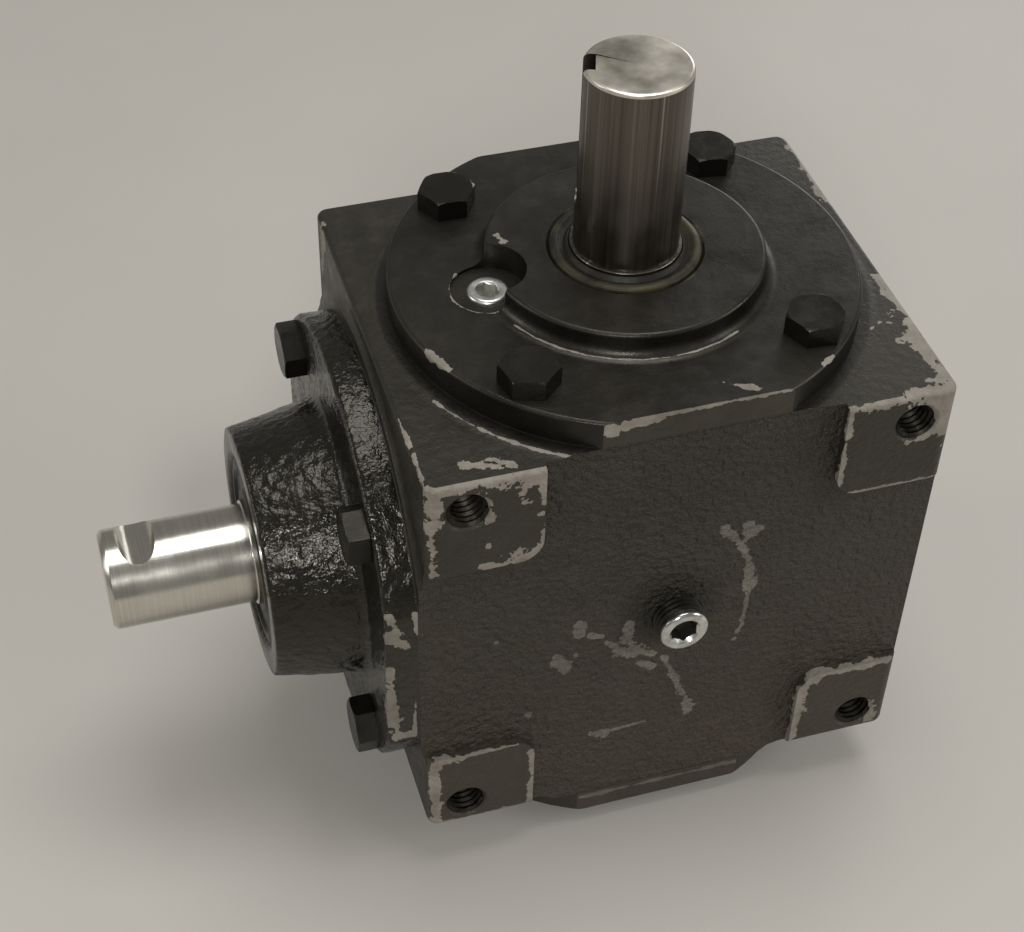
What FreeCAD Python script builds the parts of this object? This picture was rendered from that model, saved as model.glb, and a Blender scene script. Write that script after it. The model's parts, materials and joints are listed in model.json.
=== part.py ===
"""Right angle gear reducer with straight bevel gears on crossed shafts.

Millimetres.  The pieces are modelled about the point where the two shaft axes cross, with the
output shaft along +Z and the input shaft along -X.  When they are saved they move to the part's
own frame, whose origin is the centre of the four tapped holes on the front mounting pads.
"""
import FreeCAD
import Part
import math
import os

from FreeCAD import Vector

# Fits and running gaps
close_fit = 0.02
running_fit = 0.05
roller_play = 0.04
pocket_play = 0.2
spigot_fit = 0.1

# Shafts
shaft_diameter = 25.4
bearing_seat_diameter = 26.99
gear_seat_diameter = 30.0
pinion_seat_diameter = 19.05
output_shaft_length_outside = 49.85
input_shaft_length_outside = 36.6
shaft_end_chamfer = 0.8
seat_step_outside = 0.4
keyway_width = 6.35
keyway_depth = 3.2
keyway_length = 38.0
keyway_turn = 161.0
notch_radius = 5.0
notch_depth = 3.5
notch_distance_from_end = 8.9
notch_turn = 9.0

# Bevel gears
module = 2.5
gear_teeth = 30
pinion_teeth = 20
face_width = 14.0
pressure_angle = 20.0
addendum_factor = 1.0
dedendum_factor = 1.2
tooth_thinning = 0.15
flank_steps = 4
rim_thickness = 2.2
tip_allowance = 0.6
gear_hub_radius = 21.0
gear_hub_above = 6.0
gear_hub_below = 6.8
pinion_hub_radius = 16.0
pinion_hub_length = 5.8
gear_key_size = 6.35
gear_key_length = 16.0
pinion_key_size = 4.76
pinion_key_length = 12.0
sleeve_wall = 2.8
pinion_washer_radius = 12.5
pinion_washer_thickness = 2.5
pinion_screw_diameter = 6.35
pinion_screw_length = 16.0
pinion_screw_head_radius = 4.8
pinion_screw_head_height = 3.6
pinion_screw_socket = 4.76

# Tapered roller bearings
bearing_diameter = 50.3
bearing_width = 14.2
roller_count = 14
roller_diameter = 6.0
roller_length = 10.0
roller_tilt = 12.5
cup_set_back = 1.6
large_rib_width = 1.2
large_rib_height = 1.1
small_rib_width = 2.1
small_rib_height = 0.7
cage_thickness = 0.8
cage_offset = 0.6
cage_inset = 0.3
bearing_shoulder = 4.2
lower_shaft_stub = 1.2

# Housing
gear_to_bore_gap = 2.4
bolt_land = 7.6
cover_rim = 8.25
side_margin = 7.15
front_wall = 11.1
axis_to_top = 64.0
axis_to_bottom = 58.6
core_wall = 10.0
bolt_wall = 15.0
core_corner_radius = 9.0
corner_radius = 3.0
top_edge_radius = 1.2
bottom_edge_radius = 3.0
pad_size = 28.0
pad_height = 2.4
pad_corner_radius = 6.0
pad_hole_spacing_x = 108.8
pad_hole_spacing_z = 105.5
pad_hole_diameter = 8.0
pad_hole_depth = 20.0
boss_margin = 2.8
boss_draft = 1.4
top_boss_height = 0.6
input_boss_height = 1.2
bottom_boss_height = 2.5

# Covers
shim_thickness = 0.3
output_cover_thickness = 7.2
output_hub_radius = 33.4
output_hub_height = 6.25
output_spigot_length = 14.4
blind_cover_thickness = 7.2
input_flange_thickness = 7.9
nose_base_radius = 36.0
nose_radius = 32.0
nose_length = 22.7
cast_fillet = 3.0
edge_round = 0.8
shaft_hole_gap = 1.5
stub_clearance = 3.0

# Seals
output_seal_diameter = 36.5
output_seal_width = 7.0
output_seal_proud = 1.25
output_seal_lip_reach = 4.4
input_seal_diameter = 46.0
input_seal_width = 5.0
input_seal_recess = 0.6
input_seal_step = 2.0
seal_wall = 1.4
retaining_ring_thickness = 1.6
retaining_ring_depth = 0.9
retaining_ring_height = 2.6

# Bolts and plugs
bolt_diameter = 7.94
bolt_across_flats = 12.7
bolt_head_height = 5.3
bolt_reach = 13.0
bolt_count = 4
bolt_first_angle = 45.0
bolt_hole_clearance = 0.4
bolt_tip_gap = 1.0
fill_plug_diameter = 10.3
fill_plug_length = 8.0
fill_plug_socket = 4.76
fill_plug_distance = 34.0
fill_plug_proud = 0.8
spotface_diameter = 18.2
spotface_depth = 0.9
level_plug_diameter = 13.2
level_plug_length = 14.0
level_plug_socket = 6.35
level_plug_proud = 6.0
plug_socket_depth = 4.5
plug_chamfer = 0.9

# Sizes that follow from the ones above
shaft_radius = shaft_diameter / 2
bearing_seat_radius = bearing_seat_diameter / 2
gear_seat_radius = gear_seat_diameter / 2
pinion_seat_radius = pinion_seat_diameter / 2
gear_pitch_radius = module * gear_teeth / 2
pinion_pitch_radius = module * pinion_teeth / 2
cone_distance = math.hypot(gear_pitch_radius, pinion_pitch_radius)
gear_cone_angle = math.atan2(gear_teeth, pinion_teeth)
pinion_cone_angle = math.pi / 2 - gear_cone_angle
addendum = addendum_factor * module
dedendum = dedendum_factor * module
gear_tip_radius = gear_pitch_radius + addendum * math.cos(gear_cone_angle)
bore_radius = gear_tip_radius + gear_to_bore_gap
bolt_circle_radius = bore_radius + bolt_land
cover_radius = bolt_circle_radius + cover_rim
half_width = cover_radius + side_margin
half_depth = bore_radius + front_wall
pad_plane = half_depth + pad_height
mid_height = (axis_to_top - axis_to_bottom) / 2
bearing_radius = bearing_diameter / 2
spigot_radius = bore_radius - spigot_fit
cover_seat = axis_to_top + top_boss_height + shim_thickness
cover_face = cover_seat + output_cover_thickness
hub_face = cover_face + output_hub_height
blind_seat = axis_to_bottom + bottom_boss_height + shim_thickness
blind_face = blind_seat + blind_cover_thickness
input_seat = half_width + input_boss_height + shim_thickness
input_face = input_seat + input_flange_thickness
nose_end = input_face + nose_length
seal_top = hub_face + output_seal_proud
output_seat_end = seal_top + seat_step_outside
input_seat_end = nose_end + seat_step_outside
output_shaft_end = hub_face + output_shaft_length_outside
input_shaft_end = nose_end + input_shaft_length_outside
roller_radius = roller_diameter / 2
roller_path_radius = (bearing_seat_radius + bearing_radius) / 2
bolt_radius = bolt_diameter / 2
tapped_radius = bolt_radius + close_fit
up = Vector(0, 0, 1)
same_place = 1e-4


def turned(points):
    """Solid of revolution about Z from (radius, height) points."""
    corners = [Vector(radius, 0, height) for radius, height in points]
    face = Part.Face(Part.makePolygon(corners + corners[:1]))
    return face.revolve(Vector(), up, 360)


def tube(outer, inner, low, high):
    return turned([(inner, low), (outer, low), (outer, high), (inner, high)])


def rod(radius, low, high, x=0.0, y=0.0):
    return Part.makeCylinder(radius, high - low, Vector(x, y, low))


def hexagon(across_flats, low, high):
    corner = across_flats / math.sqrt(3)
    turns = [math.radians(60 * step) for step in range(7)]
    points = [Vector(corner * math.cos(turn), corner * math.sin(turn), low) for turn in turns]
    return Part.Face(Part.makePolygon(points)).extrude(Vector(0, 0, high - low))


def block(low, high):
    size = high - low
    return Part.makeBox(size.x, size.y, size.z, low)


def moved(shape, offset):
    copy = shape.copy()
    copy.translate(offset)
    return copy


def turned_about(shape, axis, degrees):
    copy = shape.copy()
    copy.rotate(Vector(), axis, degrees)
    return copy


def to_input(shape):
    """Turn a piece modelled along +Z so that it points along the input axis, -X."""
    return turned_about(shape, Vector(0, 1, 0), -90)


def to_bottom(shape):
    """Turn a piece modelled along +Z so that it points down."""
    return turned_about(shape, Vector(1, 0, 0), 180)


def rounded(shape, radius, wanted):
    """Fillet the edges of a shape that the test picks."""
    edges = [edge for edge in shape.Edges if wanted(edge)]
    return shape.makeFillet(radius, edges)


def circle_at(radius, height):
    """Test for a circular edge about Z with this radius and height."""
    def wanted(edge):
        curve = edge.Curve
        if not isinstance(curve, Part.Circle):
            return False
        return abs(curve.Radius - radius) < same_place and abs(edge.CenterOfMass.z - height) < same_place
    return wanted


def around(count, first_angle, radius):
    """Points evenly spaced on a circle."""
    turns = [math.radians(first_angle + 360 * step / count) for step in range(count)]
    return [Vector(radius * math.cos(turn), radius * math.sin(turn), 0) for turn in turns]


bolt_places = around(bolt_count, bolt_first_angle, bolt_circle_radius)


def bolt_cylinders(radius, low, high):
    cylinders = [rod(radius, low, high, place.x, place.y) for place in bolt_places]
    return Part.makeCompound(cylinders)


def between_flats(shape, height):
    """Trim a round flange to the flats that lie flush with the front and back faces."""
    reach = 2 * cover_radius
    slab = block(Vector(-reach, -half_depth, -height), Vector(reach, half_depth, height))
    return shape.common(slab)


# Bevel gears

def flank(teeth, cone_angle):
    """Points (radius, axial place, half angle) up one flank at the outer end of the teeth."""
    pitch_radius = module * teeth / 2
    virtual_radius = pitch_radius / math.cos(cone_angle)
    base_radius = virtual_radius * math.cos(math.radians(pressure_angle))
    pitch_half_angle = (math.pi * module / 2 - tooth_thinning) / (2 * virtual_radius)

    def involute(radius):
        pressure = math.acos(min(1.0, base_radius / radius))
        return math.tan(pressure) - pressure

    points = []
    for step in range(flank_steps + 1):
        height = -dedendum + (addendum + dedendum) * step / flank_steps
        virtual = virtual_radius + height
        half_angle = pitch_half_angle + involute(virtual_radius) - involute(virtual)
        radius = pitch_radius + height * math.cos(cone_angle)
        place = pitch_radius / math.tan(cone_angle) - height * math.sin(cone_angle)
        points.append((radius, place, half_angle / math.cos(cone_angle)))
    return points


def tooth_outline(teeth, cone_angle, first_angle, place):
    """Closed outline of all the teeth, where a plane across the axis cuts them."""
    side = flank(teeth, cone_angle)
    corners = []
    for tooth in range(teeth):
        middle = math.radians(first_angle) + 2 * math.pi * tooth / teeth
        left = [(radius * place / axial, middle - half) for radius, axial, half in side]
        right = [(radius * place / axial, middle + half) for radius, axial, half in side]
        for radius, turn in left + right[::-1]:
            corners.append(Vector(radius * math.cos(turn), radius * math.sin(turn), place))
    return Part.makePolygon(corners + corners[:1])


def toothed_ring(teeth, cone_angle, first_angle, hub_radius):
    """Straight bevel teeth on a conical rim, with the pitch apex at the origin."""
    def on_end(distance, height):
        radius = distance * math.sin(cone_angle) + height * math.cos(cone_angle)
        return radius, distance * math.cos(cone_angle) - height * math.sin(cone_angle)

    inner_end = cone_distance - face_width
    outward = addendum + tip_allowance
    inward = -dedendum - rim_thickness
    toe_root = on_end(inner_end, inward)
    toe_tip = on_end(inner_end, outward)
    heel_tip = on_end(cone_distance, outward)
    heel_root = on_end(cone_distance, inward)
    core = min(hub_radius, toe_root[0]) - rim_thickness
    rim = turned([(core, toe_root[1]), toe_root, toe_tip, heel_tip, heel_root, (core, heel_root[1])])
    ends = [min(toe_tip[1], toe_root[1]) - tip_allowance, heel_root[1] + tip_allowance]
    outlines = [tooth_outline(teeth, cone_angle, first_angle, place) for place in ends]
    teeth_solid = Part.makeLoft(outlines, True, True)
    return rim.common(teeth_solid), toe_root[1], heel_root[1]


gear_ring, gear_web_top, gear_web_bottom = toothed_ring(
    gear_teeth, gear_cone_angle, 180 / gear_teeth, gear_hub_radius)
pinion_ring, pinion_front, pinion_back = toothed_ring(
    pinion_teeth, pinion_cone_angle, 0.0, pinion_hub_radius)
gear_top = gear_web_top - gear_hub_above
gear_bottom = gear_web_bottom + gear_hub_below
pinion_hub_end = pinion_back + pinion_hub_length


def key_block(size, length, seat_radius, middle):
    """Square key half sunk in its shaft, on the +X side, with its length along Z."""
    low = Vector(seat_radius - size / 2, -size / 2, middle - length / 2)
    return block(low, low + Vector(size, size, length))


gear_key_middle = (gear_top + gear_bottom) / 2
pinion_key_middle = (pinion_front + pinion_hub_end) / 2
gear_key_shape = key_block(gear_key_size, gear_key_length, gear_seat_radius, gear_key_middle)
pinion_key_shape = key_block(pinion_key_size, pinion_key_length, pinion_seat_radius,
                             pinion_key_middle)


def hub_keyway(size, seat_radius, low, high):
    reach = seat_radius + size / 2 + close_fit
    return block(Vector(0, -size / 2 - close_fit, low), Vector(reach, size / 2 + close_fit, high))


def bevel_gear():
    bore = gear_seat_radius + close_fit
    hub = tube(gear_hub_radius, bore, gear_top, gear_bottom)
    gear = gear_ring.fuse(hub).cut(rod(bore, gear_top, gear_bottom))
    return gear.cut(hub_keyway(gear_key_size, gear_seat_radius, gear_top, gear_bottom))


def bevel_pinion():
    bore = pinion_seat_radius + close_fit
    hub = tube(pinion_hub_radius, bore, pinion_back, pinion_hub_end)
    web = tube(min(pinion_hub_radius, pinion_seat_radius + rim_thickness), bore,
               pinion_front, pinion_back)
    pinion = pinion_ring.fuse([hub, web]).cut(rod(bore, pinion_front, pinion_hub_end))
    keyway = hub_keyway(pinion_key_size, pinion_seat_radius, pinion_front, pinion_hub_end)
    return pinion.cut(keyway)


# Bearing places, measured from the crossing of the axes
upper_cup_back = cover_seat + edge_round
upper_cone_back = upper_cup_back - bearing_width
lower_cone_back = gear_bottom
lower_cup_back = lower_cone_back + bearing_width
inner_cone_back = pinion_hub_end
inner_cup_back = inner_cone_back + bearing_width
outer_cone_back = nose_end - input_seal_recess - input_seal_width - input_seal_step
outer_cup_back = outer_cone_back - bearing_width


def tapered_bearing():
    """Cup, cone, rollers and cage about Z, from the cone's back at 0 to the cup's back."""
    tilt = math.radians(roller_tilt)
    middle = bearing_width / 2
    apex = middle + roller_path_radius / math.tan(tilt)
    apex_to_middle = roller_path_radius / math.sin(tilt)
    taper = math.asin(roller_radius / apex_to_middle)

    def race(angle, place):
        return (apex - place) * math.tan(angle)

    bore = bearing_seat_radius + close_fit
    outer = bearing_radius - close_fit
    inner_race = [(race(tilt - taper, place), place)
                  for place in (large_rib_width, bearing_width - small_rib_width)]
    large_rib = inner_race[0][0] + large_rib_height
    small_rib = inner_race[1][0] + small_rib_height
    cone = turned([(bore, 0), (large_rib, 0), (large_rib, large_rib_width), inner_race[0],
                   inner_race[1], (small_rib, inner_race[1][1]), (small_rib, bearing_width),
                   (bore, bearing_width)])
    cup = turned([(outer, cup_set_back), (outer, bearing_width),
                  (race(tilt + taper, bearing_width), bearing_width),
                  (race(tilt + taper, cup_set_back), cup_set_back)])

    def roller(play, extra_length):
        large = apex_to_middle + roller_length / 2 + extra_length
        small = apex_to_middle - roller_length / 2 - extra_length
        large_radius = large * math.sin(taper) + play
        small_radius = small * math.sin(taper) + play
        start = Vector(large * math.sin(tilt), 0, apex - large * math.cos(tilt))
        towards_apex = Vector(-math.sin(tilt), 0, math.cos(tilt))
        return Part.makeCone(large_radius, small_radius, large - small, start, towards_apex)

    def ring_of(shape):
        return [turned_about(shape, up, 360 * step / roller_count) for step in range(roller_count)]

    rollers = ring_of(roller(-roller_play, 0.0))

    def cage_line(place, side):
        return (apex - place) * math.tan(tilt) + cage_offset + side * cage_thickness / 2

    ends = (cage_inset, bearing_width - cage_inset)
    shell = turned([(cage_line(ends[0], -1), ends[0]), (cage_line(ends[0], 1), ends[0]),
                    (cage_line(ends[1], 1), ends[1]), (cage_line(ends[1], -1), ends[1])])
    cage = shell.cut(ring_of(roller(pocket_play, pocket_play)))
    return {"cup": cup, "cone": cone, "rollers": Part.makeCompound(rollers), "cage": cage}


def placed_bearing(pieces, cone_back, outward, turn):
    """Move a bearing so that its cone's back is at this place and its cup's back is further out."""
    result = {}
    for name, shape in pieces.items():
        facing = shape if outward else to_bottom(shape)
        result[name] = turn(moved(facing, Vector(0, 0, cone_back)))
    return result


# Shafts

def output_shaft():
    low = -lower_cup_back - lower_shaft_stub
    chamfer = shaft_end_chamfer
    shaft = turned([
        (0, low), (bearing_seat_radius - chamfer, low), (bearing_seat_radius, low + chamfer),
        (bearing_seat_radius, -lower_cone_back), (gear_seat_radius, -lower_cone_back),
        (gear_seat_radius, upper_cone_back), (bearing_seat_radius, upper_cone_back),
        (bearing_seat_radius, output_seat_end), (shaft_radius, output_seat_end),
        (shaft_radius, output_shaft_end - chamfer), (shaft_radius - chamfer, output_shaft_end),
        (0, output_shaft_end)])
    half = keyway_width / 2
    floor = shaft_radius - keyway_depth
    run_out = output_shaft_end - keyway_length + half
    slot = block(Vector(floor, -half, run_out), Vector(shaft_diameter, half, output_shaft_end + half))
    end_mill = Part.makeCylinder(half, shaft_diameter, Vector(floor, 0, run_out), Vector(1, 0, 0))
    keyway = turned_about(slot.fuse(end_mill), up, keyway_turn)
    return shaft.cut([keyway, to_bottom(gear_key_shape)])


def input_shaft():
    """Modelled along +Z, pointing out of the housing."""
    low = pinion_front
    chamfer = shaft_end_chamfer
    ring_low = outer_cone_back
    ring_high = ring_low + retaining_ring_thickness
    groove = bearing_seat_radius - retaining_ring_depth
    shaft = turned([
        (0, low), (pinion_seat_radius, low), (pinion_seat_radius, pinion_hub_end),
        (bearing_seat_radius, pinion_hub_end), (bearing_seat_radius, ring_low), (groove, ring_low),
        (groove, ring_high), (bearing_seat_radius, ring_high), (bearing_seat_radius, input_seat_end),
        (shaft_radius, input_seat_end), (shaft_radius, input_shaft_end - chamfer),
        (shaft_radius - chamfer, input_shaft_end), (0, input_shaft_end)])
    notch_centre = Vector(shaft_radius - notch_depth + notch_radius, -shaft_diameter,
                          input_shaft_end - notch_distance_from_end)
    notch = Part.makeCylinder(notch_radius, 2 * shaft_diameter, notch_centre, Vector(0, 1, 0))
    screw_hole = rod(pinion_screw_diameter / 2 + close_fit, low, low + pinion_screw_length)
    key_slot = turned_about(pinion_key_shape, up, 180)
    return shaft.cut([turned_about(notch, up, notch_turn), screw_hole, key_slot])


def distance_sleeve():
    inner = gear_seat_radius + close_fit
    return tube(inner + sleeve_wall, inner, -gear_top, upper_cone_back)


def retaining_ring():
    inner = bearing_seat_radius - retaining_ring_depth + close_fit
    high = outer_cone_back + retaining_ring_thickness - close_fit
    return tube(bearing_seat_radius + retaining_ring_height, inner, outer_cone_back, high)


def pinion_washer():
    inner = pinion_screw_diameter / 2 + close_fit
    return tube(pinion_washer_radius, inner, pinion_front - pinion_washer_thickness, pinion_front)


def pinion_screw():
    seat = pinion_front - pinion_washer_thickness
    top = seat - pinion_screw_head_height
    head = rod(pinion_screw_head_radius, top, seat)
    shank = rod(pinion_screw_diameter / 2, seat, pinion_front + pinion_screw_length - bolt_tip_gap)
    socket = hexagon(pinion_screw_socket, top, seat - seal_wall)
    return head.fuse(shank).cut(socket)


# Housing and covers

def boss(height):
    """Low round seat for a cover, standing on a plane at height 0, with cast draft."""
    top_radius = cover_radius + boss_margin
    seat = Part.makeCone(top_radius + boss_draft, top_radius, height)
    return between_flats(seat, height)


def pads():
    """Prisms of the four front pads, each with its inner corner rounded."""
    reach = 2 * pad_size
    prisms = []
    for side in (-1, 1):
        for edge, direction in ((-axis_to_bottom, 1), (axis_to_top, -1)):
            inner_x = side * (half_width - pad_size)
            inner_z = edge + direction * pad_size
            x_limits = sorted((inner_x, inner_x + side * reach))
            z_limits = sorted((inner_z, inner_z - direction * reach))
            low = Vector(x_limits[0], -pad_plane - pad_height, z_limits[0])
            high = Vector(x_limits[1], -half_depth, z_limits[1])
            corner = Vector(inner_x, 0, inner_z)

            def inner_corner(edge_line):
                middle = edge_line.CenterOfMass
                return abs(middle.x - corner.x) < same_place and abs(middle.z - corner.z) < same_place

            prisms.append(rounded(block(low, high), pad_corner_radius, inner_corner))
    return prisms


def pad_holes():
    holes = []
    for side in (-1, 1):
        for end in (-1, 1):
            place = Vector(side * pad_hole_spacing_x / 2, -pad_plane,
                           mid_height + end * pad_hole_spacing_z / 2)
            holes.append(Part.makeCylinder(pad_hole_diameter / 2, pad_hole_depth, place,
                                           Vector(0, 1, 0)))
    return holes


def castings_outside():
    """Outer block of the housing with its pads, recessed front and round seats."""
    low = Vector(-half_width, -pad_plane, -axis_to_bottom)
    high = Vector(half_width, half_depth, axis_to_top)
    body = block(low, high)
    body = rounded(body, corner_radius, lambda edge: edge.BoundBox.ZLength > pad_size)
    body = rounded(body, bottom_edge_radius, lambda edge: edge.BoundBox.ZMax < -axis_to_bottom + same_place)
    body = rounded(body, top_edge_radius, lambda edge: edge.BoundBox.ZMin > axis_to_top - same_place)
    reach = 2 * half_width
    front = block(Vector(-reach, -pad_plane - pad_height / 2, -reach), Vector(reach, -half_depth, reach))
    body = body.cut(front.cut(pads()))
    top_seat = moved(boss(top_boss_height), Vector(0, 0, axis_to_top))
    bottom_seat = to_bottom(moved(boss(bottom_boss_height), Vector(0, 0, axis_to_bottom)))
    input_seat_shape = to_input(moved(boss(input_boss_height), Vector(0, 0, half_width)))
    level_band = block(Vector(-reach, -reach, -axis_to_bottom), Vector(reach, reach, axis_to_top))
    return body.fuse([top_seat, bottom_seat, input_seat_shape.common(level_band)])


def housing():
    core_low = Vector(-half_width + bolt_wall, -half_depth + core_wall, -axis_to_bottom + bolt_wall)
    core_high = Vector(half_width - core_wall, half_depth - core_wall, axis_to_top - bolt_wall)
    core = rounded(block(core_low, core_high), core_corner_radius,
                   lambda edge: edge.BoundBox.ZLength > pad_size)
    openings = [core]
    openings.append(rod(bore_radius, -axis_to_bottom - bottom_boss_height, axis_to_top + top_boss_height))
    openings.append(to_input(rod(bore_radius, 0, half_width + input_boss_height)))
    tapped_depth = bolt_reach + bolt_tip_gap
    faces = ((axis_to_top + top_boss_height, lambda shape: shape),
             (axis_to_bottom + bottom_boss_height, to_bottom),
             (half_width + input_boss_height, to_input))
    for face, turn in faces:
        openings.append(turn(bolt_cylinders(tapped_radius, face - tapped_depth, face)))
    plug_start = Vector(0, -half_depth, mid_height)
    openings.append(Part.makeCylinder(level_plug_diameter / 2 + close_fit, half_depth, plug_start,
                                      Vector(0, 1, 0)))
    return castings_outside().cut(openings + pad_holes())


def shim(seat):
    ring = tube(cover_radius, bore_radius, seat - shim_thickness, seat)
    ring = between_flats(ring, seat)
    return ring.cut(bolt_cylinders(bolt_radius + bolt_hole_clearance, seat - shim_thickness, seat))


def flange(seat, face):
    plate = rod(cover_radius, seat, face)
    plate = rounded(plate, edge_round, circle_at(cover_radius, face))
    return between_flats(plate, face)


def output_cover():
    hub = rod(output_hub_radius, cover_seat, hub_face)
    cover = flange(cover_seat, cover_face).fuse(hub)
    cover = rounded(cover, cast_fillet, circle_at(output_hub_radius, cover_face))
    cover = rounded(cover, edge_round, circle_at(output_hub_radius, hub_face))
    spigot_end = cover_seat - output_spigot_length
    cover = cover.fuse(rod(spigot_radius, spigot_end, cover_seat))
    seal_seat = seal_top - output_seal_width
    plug_x = -fill_plug_distance
    spotface_floor = cover_face - spotface_depth
    return cover.cut([
        rod(bearing_radius, spigot_end, upper_cup_back),
        rod(bearing_radius - bearing_shoulder, upper_cup_back, seal_seat - seal_wall),
        rod(bearing_seat_radius + shaft_hole_gap, upper_cup_back, hub_face),
        rod(output_seal_diameter / 2, seal_seat, hub_face),
        rod(spotface_diameter / 2, spotface_floor, hub_face, plug_x),
        rod(fill_plug_diameter / 2 + close_fit, spigot_end, spotface_floor, plug_x),
        bolt_cylinders(bolt_radius + bolt_hole_clearance, cover_seat, cover_face)])


def blind_cover():
    """Modelled along +Z, with its outer face up."""
    spigot = rod(spigot_radius, lower_cone_back + cup_set_back, blind_seat)
    cover = flange(blind_seat, blind_face).fuse(spigot)
    stub_end = lower_cup_back + lower_shaft_stub + stub_clearance
    return cover.cut([
        rod(bearing_radius, lower_cone_back, lower_cup_back),
        rod(bearing_radius - bearing_shoulder, lower_cup_back, stub_end),
        bolt_cylinders(bolt_radius + bolt_hole_clearance, blind_seat, blind_face)])


def input_quill():
    """Flanged bearing carrier with its tapered round nose, modelled along +Z."""
    nose = turned([(0, input_seat), (nose_base_radius, input_seat), (nose_base_radius, input_face),
                   (nose_radius, nose_end), (0, nose_end)])
    quill = flange(input_seat, input_face).fuse(nose)
    quill = rounded(quill, cast_fillet, circle_at(nose_base_radius, input_face))
    quill = rounded(quill, edge_round, circle_at(nose_radius, nose_end))
    inner_end = inner_cone_back + cup_set_back
    quill = quill.fuse(rod(spigot_radius, inner_end, input_seat))
    return quill.cut([
        rod(bearing_radius, inner_end, inner_cup_back),
        rod(bearing_radius - bearing_shoulder, inner_cup_back, outer_cup_back),
        rod(bearing_radius, outer_cup_back, nose_end),
        bolt_cylinders(bolt_radius + bolt_hole_clearance, input_seat, input_face)])


# Seals, bolts and plugs

def output_seal():
    """Rubber shaft seal that stands a little proud of the hub, with one lip on the shaft."""
    top = seal_top
    low = top - output_seal_width
    outer = output_seal_diameter / 2 - close_fit
    lip = bearing_seat_radius + running_fit
    waist = lip + seal_wall
    slope_start = outer - output_seal_proud
    return turned([
        (outer, low), (outer, hub_face), (slope_start, top), (waist, top), (lip, top - seal_wall / 2),
        (lip, top - seal_wall), (waist, top - output_seal_lip_reach), (waist, low + seal_wall),
        (lip + seal_wall / 2, low + seal_wall), (lip + seal_wall / 2, low)])


def input_seal():
    """Wide rubber shaft seal, set just inside the end of the nose; modelled along +Z."""
    top = nose_end - input_seal_recess
    low = top - input_seal_width
    outer = bearing_radius - close_fit
    face = input_seal_diameter / 2
    lip = bearing_seat_radius + running_fit
    waist = lip + seal_wall
    return turned([
        (outer, low), (outer, top - seal_wall), (face, top), (waist, top), (lip, top - seal_wall / 2),
        (lip, top - seal_wall), (waist, top - seal_wall - input_seal_step), (waist, low)])


def hex_head(face):
    """Hex bolt head on a flange face at this height, with its top corners rounded off."""
    head = hexagon(bolt_across_flats, face, face + bolt_head_height)
    corner = bolt_across_flats / math.sqrt(3)
    slope = (corner - bolt_across_flats / 2) / 2
    dome = turned([(0, face), (corner, face), (corner, face + bolt_head_height - slope),
                   (bolt_across_flats / 2, face + bolt_head_height), (0, face + bolt_head_height)])
    return head.common(dome)


def bolt_group(face, housing_face):
    shank = rod(bolt_radius, housing_face - bolt_reach, face)
    bolt = hex_head(face).fuse(shank).removeSplitter()
    return Part.makeCompound([moved(bolt, place) for place in bolt_places])


def socket_plug(diameter, length, socket):
    """Socket pipe plug with its outer end at height 0."""
    radius = diameter / 2
    body = turned([(0, -length), (radius, -length), (radius, -plug_chamfer),
                   (radius - plug_chamfer, 0), (0, 0)])
    return body.cut(hexagon(socket, -plug_socket_depth, 0))


def fill_plug():
    top = cover_face - spotface_depth + fill_plug_proud
    plug = socket_plug(fill_plug_diameter, fill_plug_length, fill_plug_socket)
    return moved(plug, Vector(-fill_plug_distance, 0, top))


def level_plug():
    plug = socket_plug(level_plug_diameter, level_plug_length, level_plug_socket)
    facing_front = turned_about(plug, Vector(1, 0, 0), 90)
    return moved(facing_front, Vector(0, -half_depth - level_plug_proud, mid_height))


# The whole reducer

nodes = {
    "housing": housing(),
    "output_cover": output_cover(),
    "blind_cover": to_bottom(blind_cover()),
    "input_quill": to_input(input_quill()),
    "output_cover_shim": shim(cover_seat),
    "blind_cover_shim": to_bottom(shim(blind_seat)),
    "input_quill_shim": to_input(shim(input_seat)),
    "output_shaft": output_shaft(),
    "input_shaft": to_input(input_shaft()),
    "bevel_gear": to_bottom(bevel_gear()),
    "bevel_pinion": to_input(turned_about(bevel_pinion(), up, 180)),
    "gear_key": to_bottom(gear_key_shape),
    "pinion_key": to_input(turned_about(pinion_key_shape, up, 180)),
    "distance_sleeve": distance_sleeve(),
    "pinion_washer": to_input(pinion_washer()),
    "pinion_screw": to_input(pinion_screw()),
    "retaining_ring": to_input(retaining_ring()),
    "output_seal": output_seal(),
    "input_seal": to_input(input_seal()),
    "output_cover_bolts": bolt_group(cover_face, axis_to_top + top_boss_height),
    "blind_cover_bolts": to_bottom(bolt_group(blind_face, axis_to_bottom + bottom_boss_height)),
    "input_quill_bolts": to_input(bolt_group(input_face, half_width + input_boss_height)),
    "fill_plug": fill_plug(),
    "level_plug": level_plug(),
}

bearing = tapered_bearing()
bearing_places = {
    "upper": placed_bearing(bearing, upper_cone_back, True, lambda shape: shape),
    "lower": placed_bearing(bearing, lower_cone_back, True, to_bottom),
    "inner": placed_bearing(bearing, inner_cone_back, True, to_input),
    "outer": placed_bearing(bearing, outer_cone_back, False, to_input),
}
for place_name, pieces in bearing_places.items():
    for piece_name, shape in pieces.items():
        nodes[place_name + "_bearing_" + piece_name] = shape

os.makedirs("parts", exist_ok=True)
to_pad_centre = Vector(0, pad_plane, -mid_height)
for node_name, shape in nodes.items():
    moved(shape, to_pad_centre).exportStep(os.path.join("parts", node_name + ".step"))
print("pad plane", round(pad_plane, 3), "mid height", round(mid_height, 3), "nodes", len(nodes))
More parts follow.
